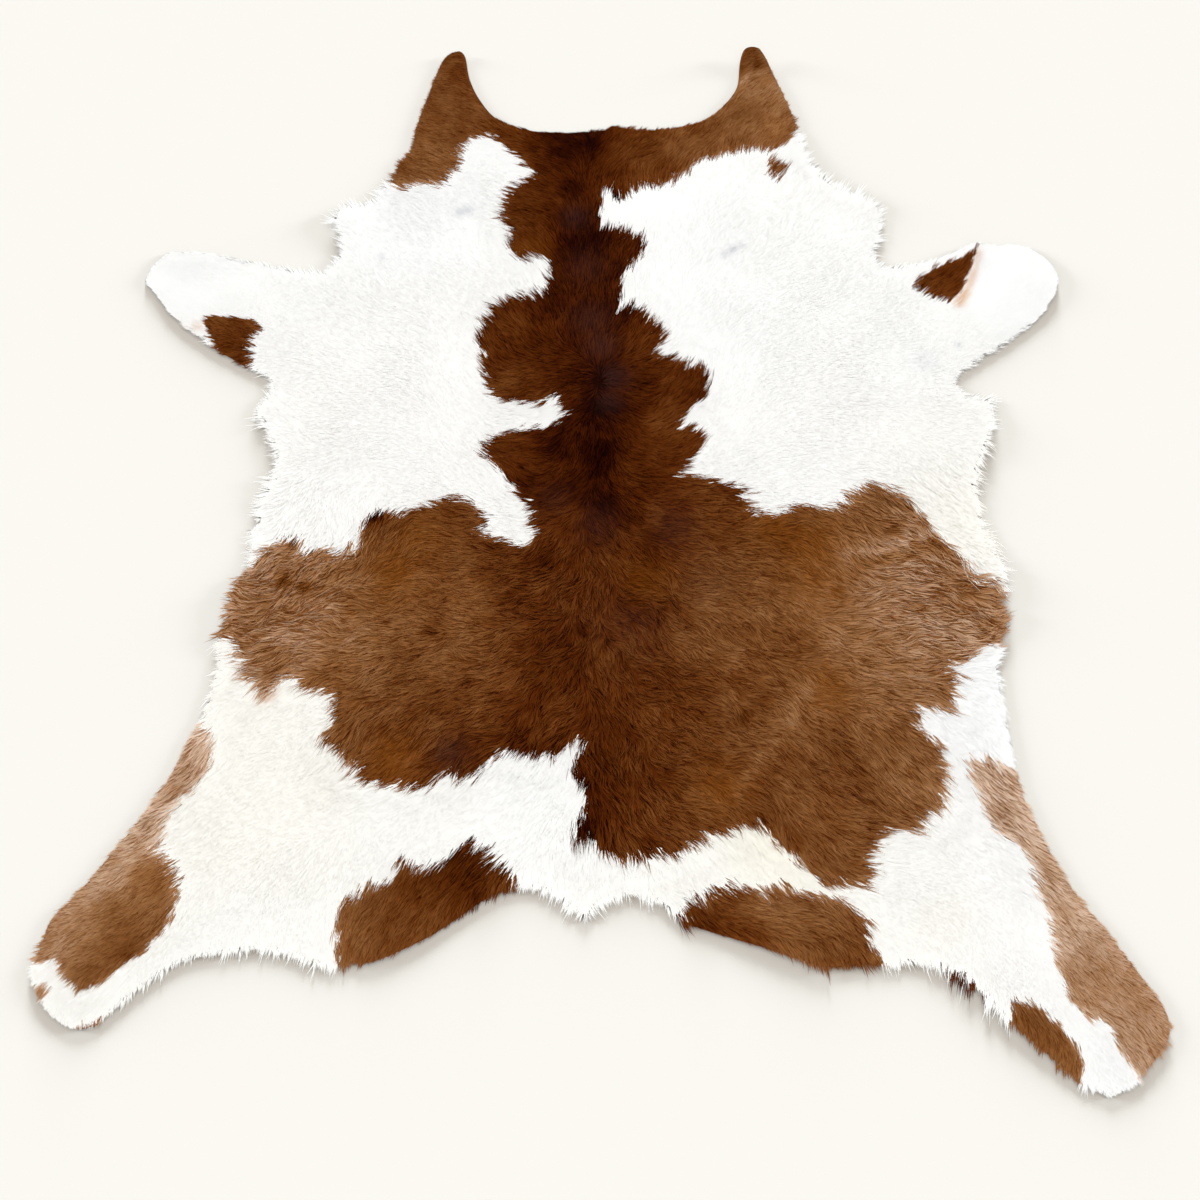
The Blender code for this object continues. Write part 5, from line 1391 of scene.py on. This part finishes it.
def leatherFinish():
    # hair-coloured over the top, suede below, and painted shade on the cut edge and just inside it
    material, tree, shader = newMaterial("hideLeather")
    place = addNode(tree, "ShaderNodeTexCoord").outputs["Object"]
    depth, patch, top = splitAttribute(tree, "coat")
    cream, inside, rimHair = splitAttribute(tree, "rim")
    stubble = addNoise(tree, place, leather["stubble"])
    skin = doSum(tree, "ADD", depth, leather["skinPaler"])
    brownSkin = addBrown(tree, doSum(tree, "MULTIPLY_ADD", stubble, leather["stubbleShade"], skin))
    whiteSkin = addRamp(tree, cream, hair["whites"])
    ragged = doSum(tree, "SUBTRACT", stubble, 0.5)
    ragged = doSum(tree, "MULTIPLY_ADD", ragged, leather["raggedness"], patch)
    hairSide = mixColours(tree, doSum(tree, "GREATER_THAN", ragged, 0.0), whiteSkin, brownSkin)
    # painted shade: the leather just inside the cut, under the rim's hair, coloured dark
    shaded = doSum(tree, "MULTIPLY", rimHair, leather["shadedRim"] / leather["shadedHair"])
    cut = linear(leather["cutEdge"])
    hairSide = mixColours(tree, doSum(tree, "LESS_THAN", inside, shaded), hairSide, cut)
    nap = addNoise(tree, place, leather["nap"])
    suede = addRamp(tree, nap, leather["suede"])
    # top, cut and underside are told apart by the way they face
    facing = addNode(tree, "ShaderNodeNewGeometry").outputs["Normal"]
    facing = addNode(tree, "ShaderNodeSeparateXYZ", {"Vector": facing}).outputs["Z"]
    isTop = doSum(tree, "MULTIPLY", top, doSum(tree, "GREATER_THAN", facing, 0.5))
    isUnder = doSum(tree, "LESS_THAN", facing, -0.5)
    # the cut edge's faces take the painted shade too
    colour = mixColours(tree, isUnder, mixColours(tree, isTop, cut, hairSide), suede)
    plugIn(tree, shader.inputs["Base Color"], colour)
    setSheen(tree, shader, nap, leather["roughness"], leather["specular"])
    bump = addNode(tree, "ShaderNodeBump", {"Height": stubble, **leather["bump"]})
    plugIn(tree, shader.inputs["Normal"], bump.outputs[0])
    return material


leatherSheet = cutLeather()
print("leather cut:", len(leatherSheet.data.polygons), "triangles")

finish = hairFinish()
coats = []
for kind, (rootX, rootY) in placeRoots().items():
    combed = combHair(kind, rootX, rootY)
    for name, chosen in zip(hair[kind]["pieces"], shareOut(kind, combed["root"])):
        coats.append(weaveCoat(name, combed, chosen, finish))
        print(name, "grown:", len(coats[-1].data.polygons), "triangles")
print("all pieces:", sum(len(piece.data.polygons) for piece in [leatherSheet, *coats]), "triangles")

for piece in [leatherSheet, *coats]:
    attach(piece, "root")
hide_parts("hide")


setting = {
    "floorColour": "#aba399",
    "floorRoughness": 0.9,
    "floorSize": 60.0,
    "floorDrop": 0.0004,      # clear of the leather
    "skyColour": "#ffffff",
    "skyStrength": 0.93,
    "sun": {"height": 50.0, "width": 60.0, "strength": 1.10},         # degrees above the floor and across
    "lowSuns": {                                                      # these light the floor only
        "height": 6.0, "width": 11.0,
        "turns": [(0, 0.74), (-75, 0.31), (75, 0.31)],                # degrees from the neck, share
        "strength": 35.3,
        "colour": "#dff0ff",                                          # so the shadows look warm
    },
    "lens": 49.09,            # millimetres, as the sensor's width
    "sensor": 36.0,
    "elevation": 70.0,
    "distance": 2.7,
    "lookAt": (0.005, -0.154, 0.0),
}


def layFloor():
    half = setting["floorSize"] / 2
    corners = [(-half, -half, 0), (half, -half, 0), (half, half, 0), (-half, half, 0)]
    mesh = bpy.data.meshes.new("floor")
    mesh.from_pydata(corners, [], [(0, 1, 2, 3)])
    material, _, shader = newMaterial("paleFloor")
    shader.inputs["Base Color"].default_value = linear(setting["floorColour"])
    shader.inputs["Roughness"].default_value = setting["floorRoughness"]
    shader.inputs["Specular IOR Level"].default_value = 0.0
    floor = addPiece("floor", mesh, material)
    floor.location.z = -setting["floorDrop"]
    floor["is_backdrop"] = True
    return floor


def hangSun(name, height, width, strength, colour="#ffffff", turn=0, litOnly=None):
    # a sun beyond the neck, or turned from there, that may light one thing only
    data = bpy.data.lights.new(name, "SUN")
    data.energy = strength
    data.color = linear(colour)[:3]
    data.angle = math.radians(width)
    lamp = bpy.data.objects.new(name, data)
    lamp.rotation_euler = (math.radians(height - 90), 0, math.radians(turn))
    bpy.context.collection.objects.link(lamp)
    if litOnly:
        lit = bpy.data.collections.new(name + "Lights")
        lit.objects.link(litOnly)
        lamp.light_linking.receiver_collection = lit


def hangLight(floor):
    hangSun("softSun", setting["sun"]["height"], setting["sun"]["width"], setting["sun"]["strength"])
    low = setting["lowSuns"]
    for turn, share in low["turns"]:
        strength = low["strength"] * share
        hangSun("lowSun%d" % turn, low["height"], low["width"], strength, low["colour"], turn, floor)
    world = bpy.data.worlds.new("paleRoom")
    world.use_nodes = True
    sky = world.node_tree.nodes["Background"]
    sky.inputs["Color"].default_value = linear(setting["skyColour"])
    sky.inputs["Strength"].default_value = setting["skyStrength"]
    bpy.context.scene.world = world
    bpy.context.scene.view_settings.view_transform = "Standard"


def setCamera():
    data = bpy.data.cameras.new("camera")
    data.lens = setting["lens"]
    data.sensor_width = setting["sensor"]
    camera = bpy.data.objects.new("camera", data)
    tilt = math.radians(setting["elevation"])
    away = Vector((0, -math.cos(tilt), math.sin(tilt))) * setting["distance"]
    camera.location = Vector(setting["lookAt"]) + away
    camera.rotation_euler = (math.pi / 2 - tilt, 0, 0)
    bpy.context.collection.objects.link(camera)
    bpy.context.scene.camera = camera


hangLight(layFloor())
setCamera()
print("floor, light and camera set")
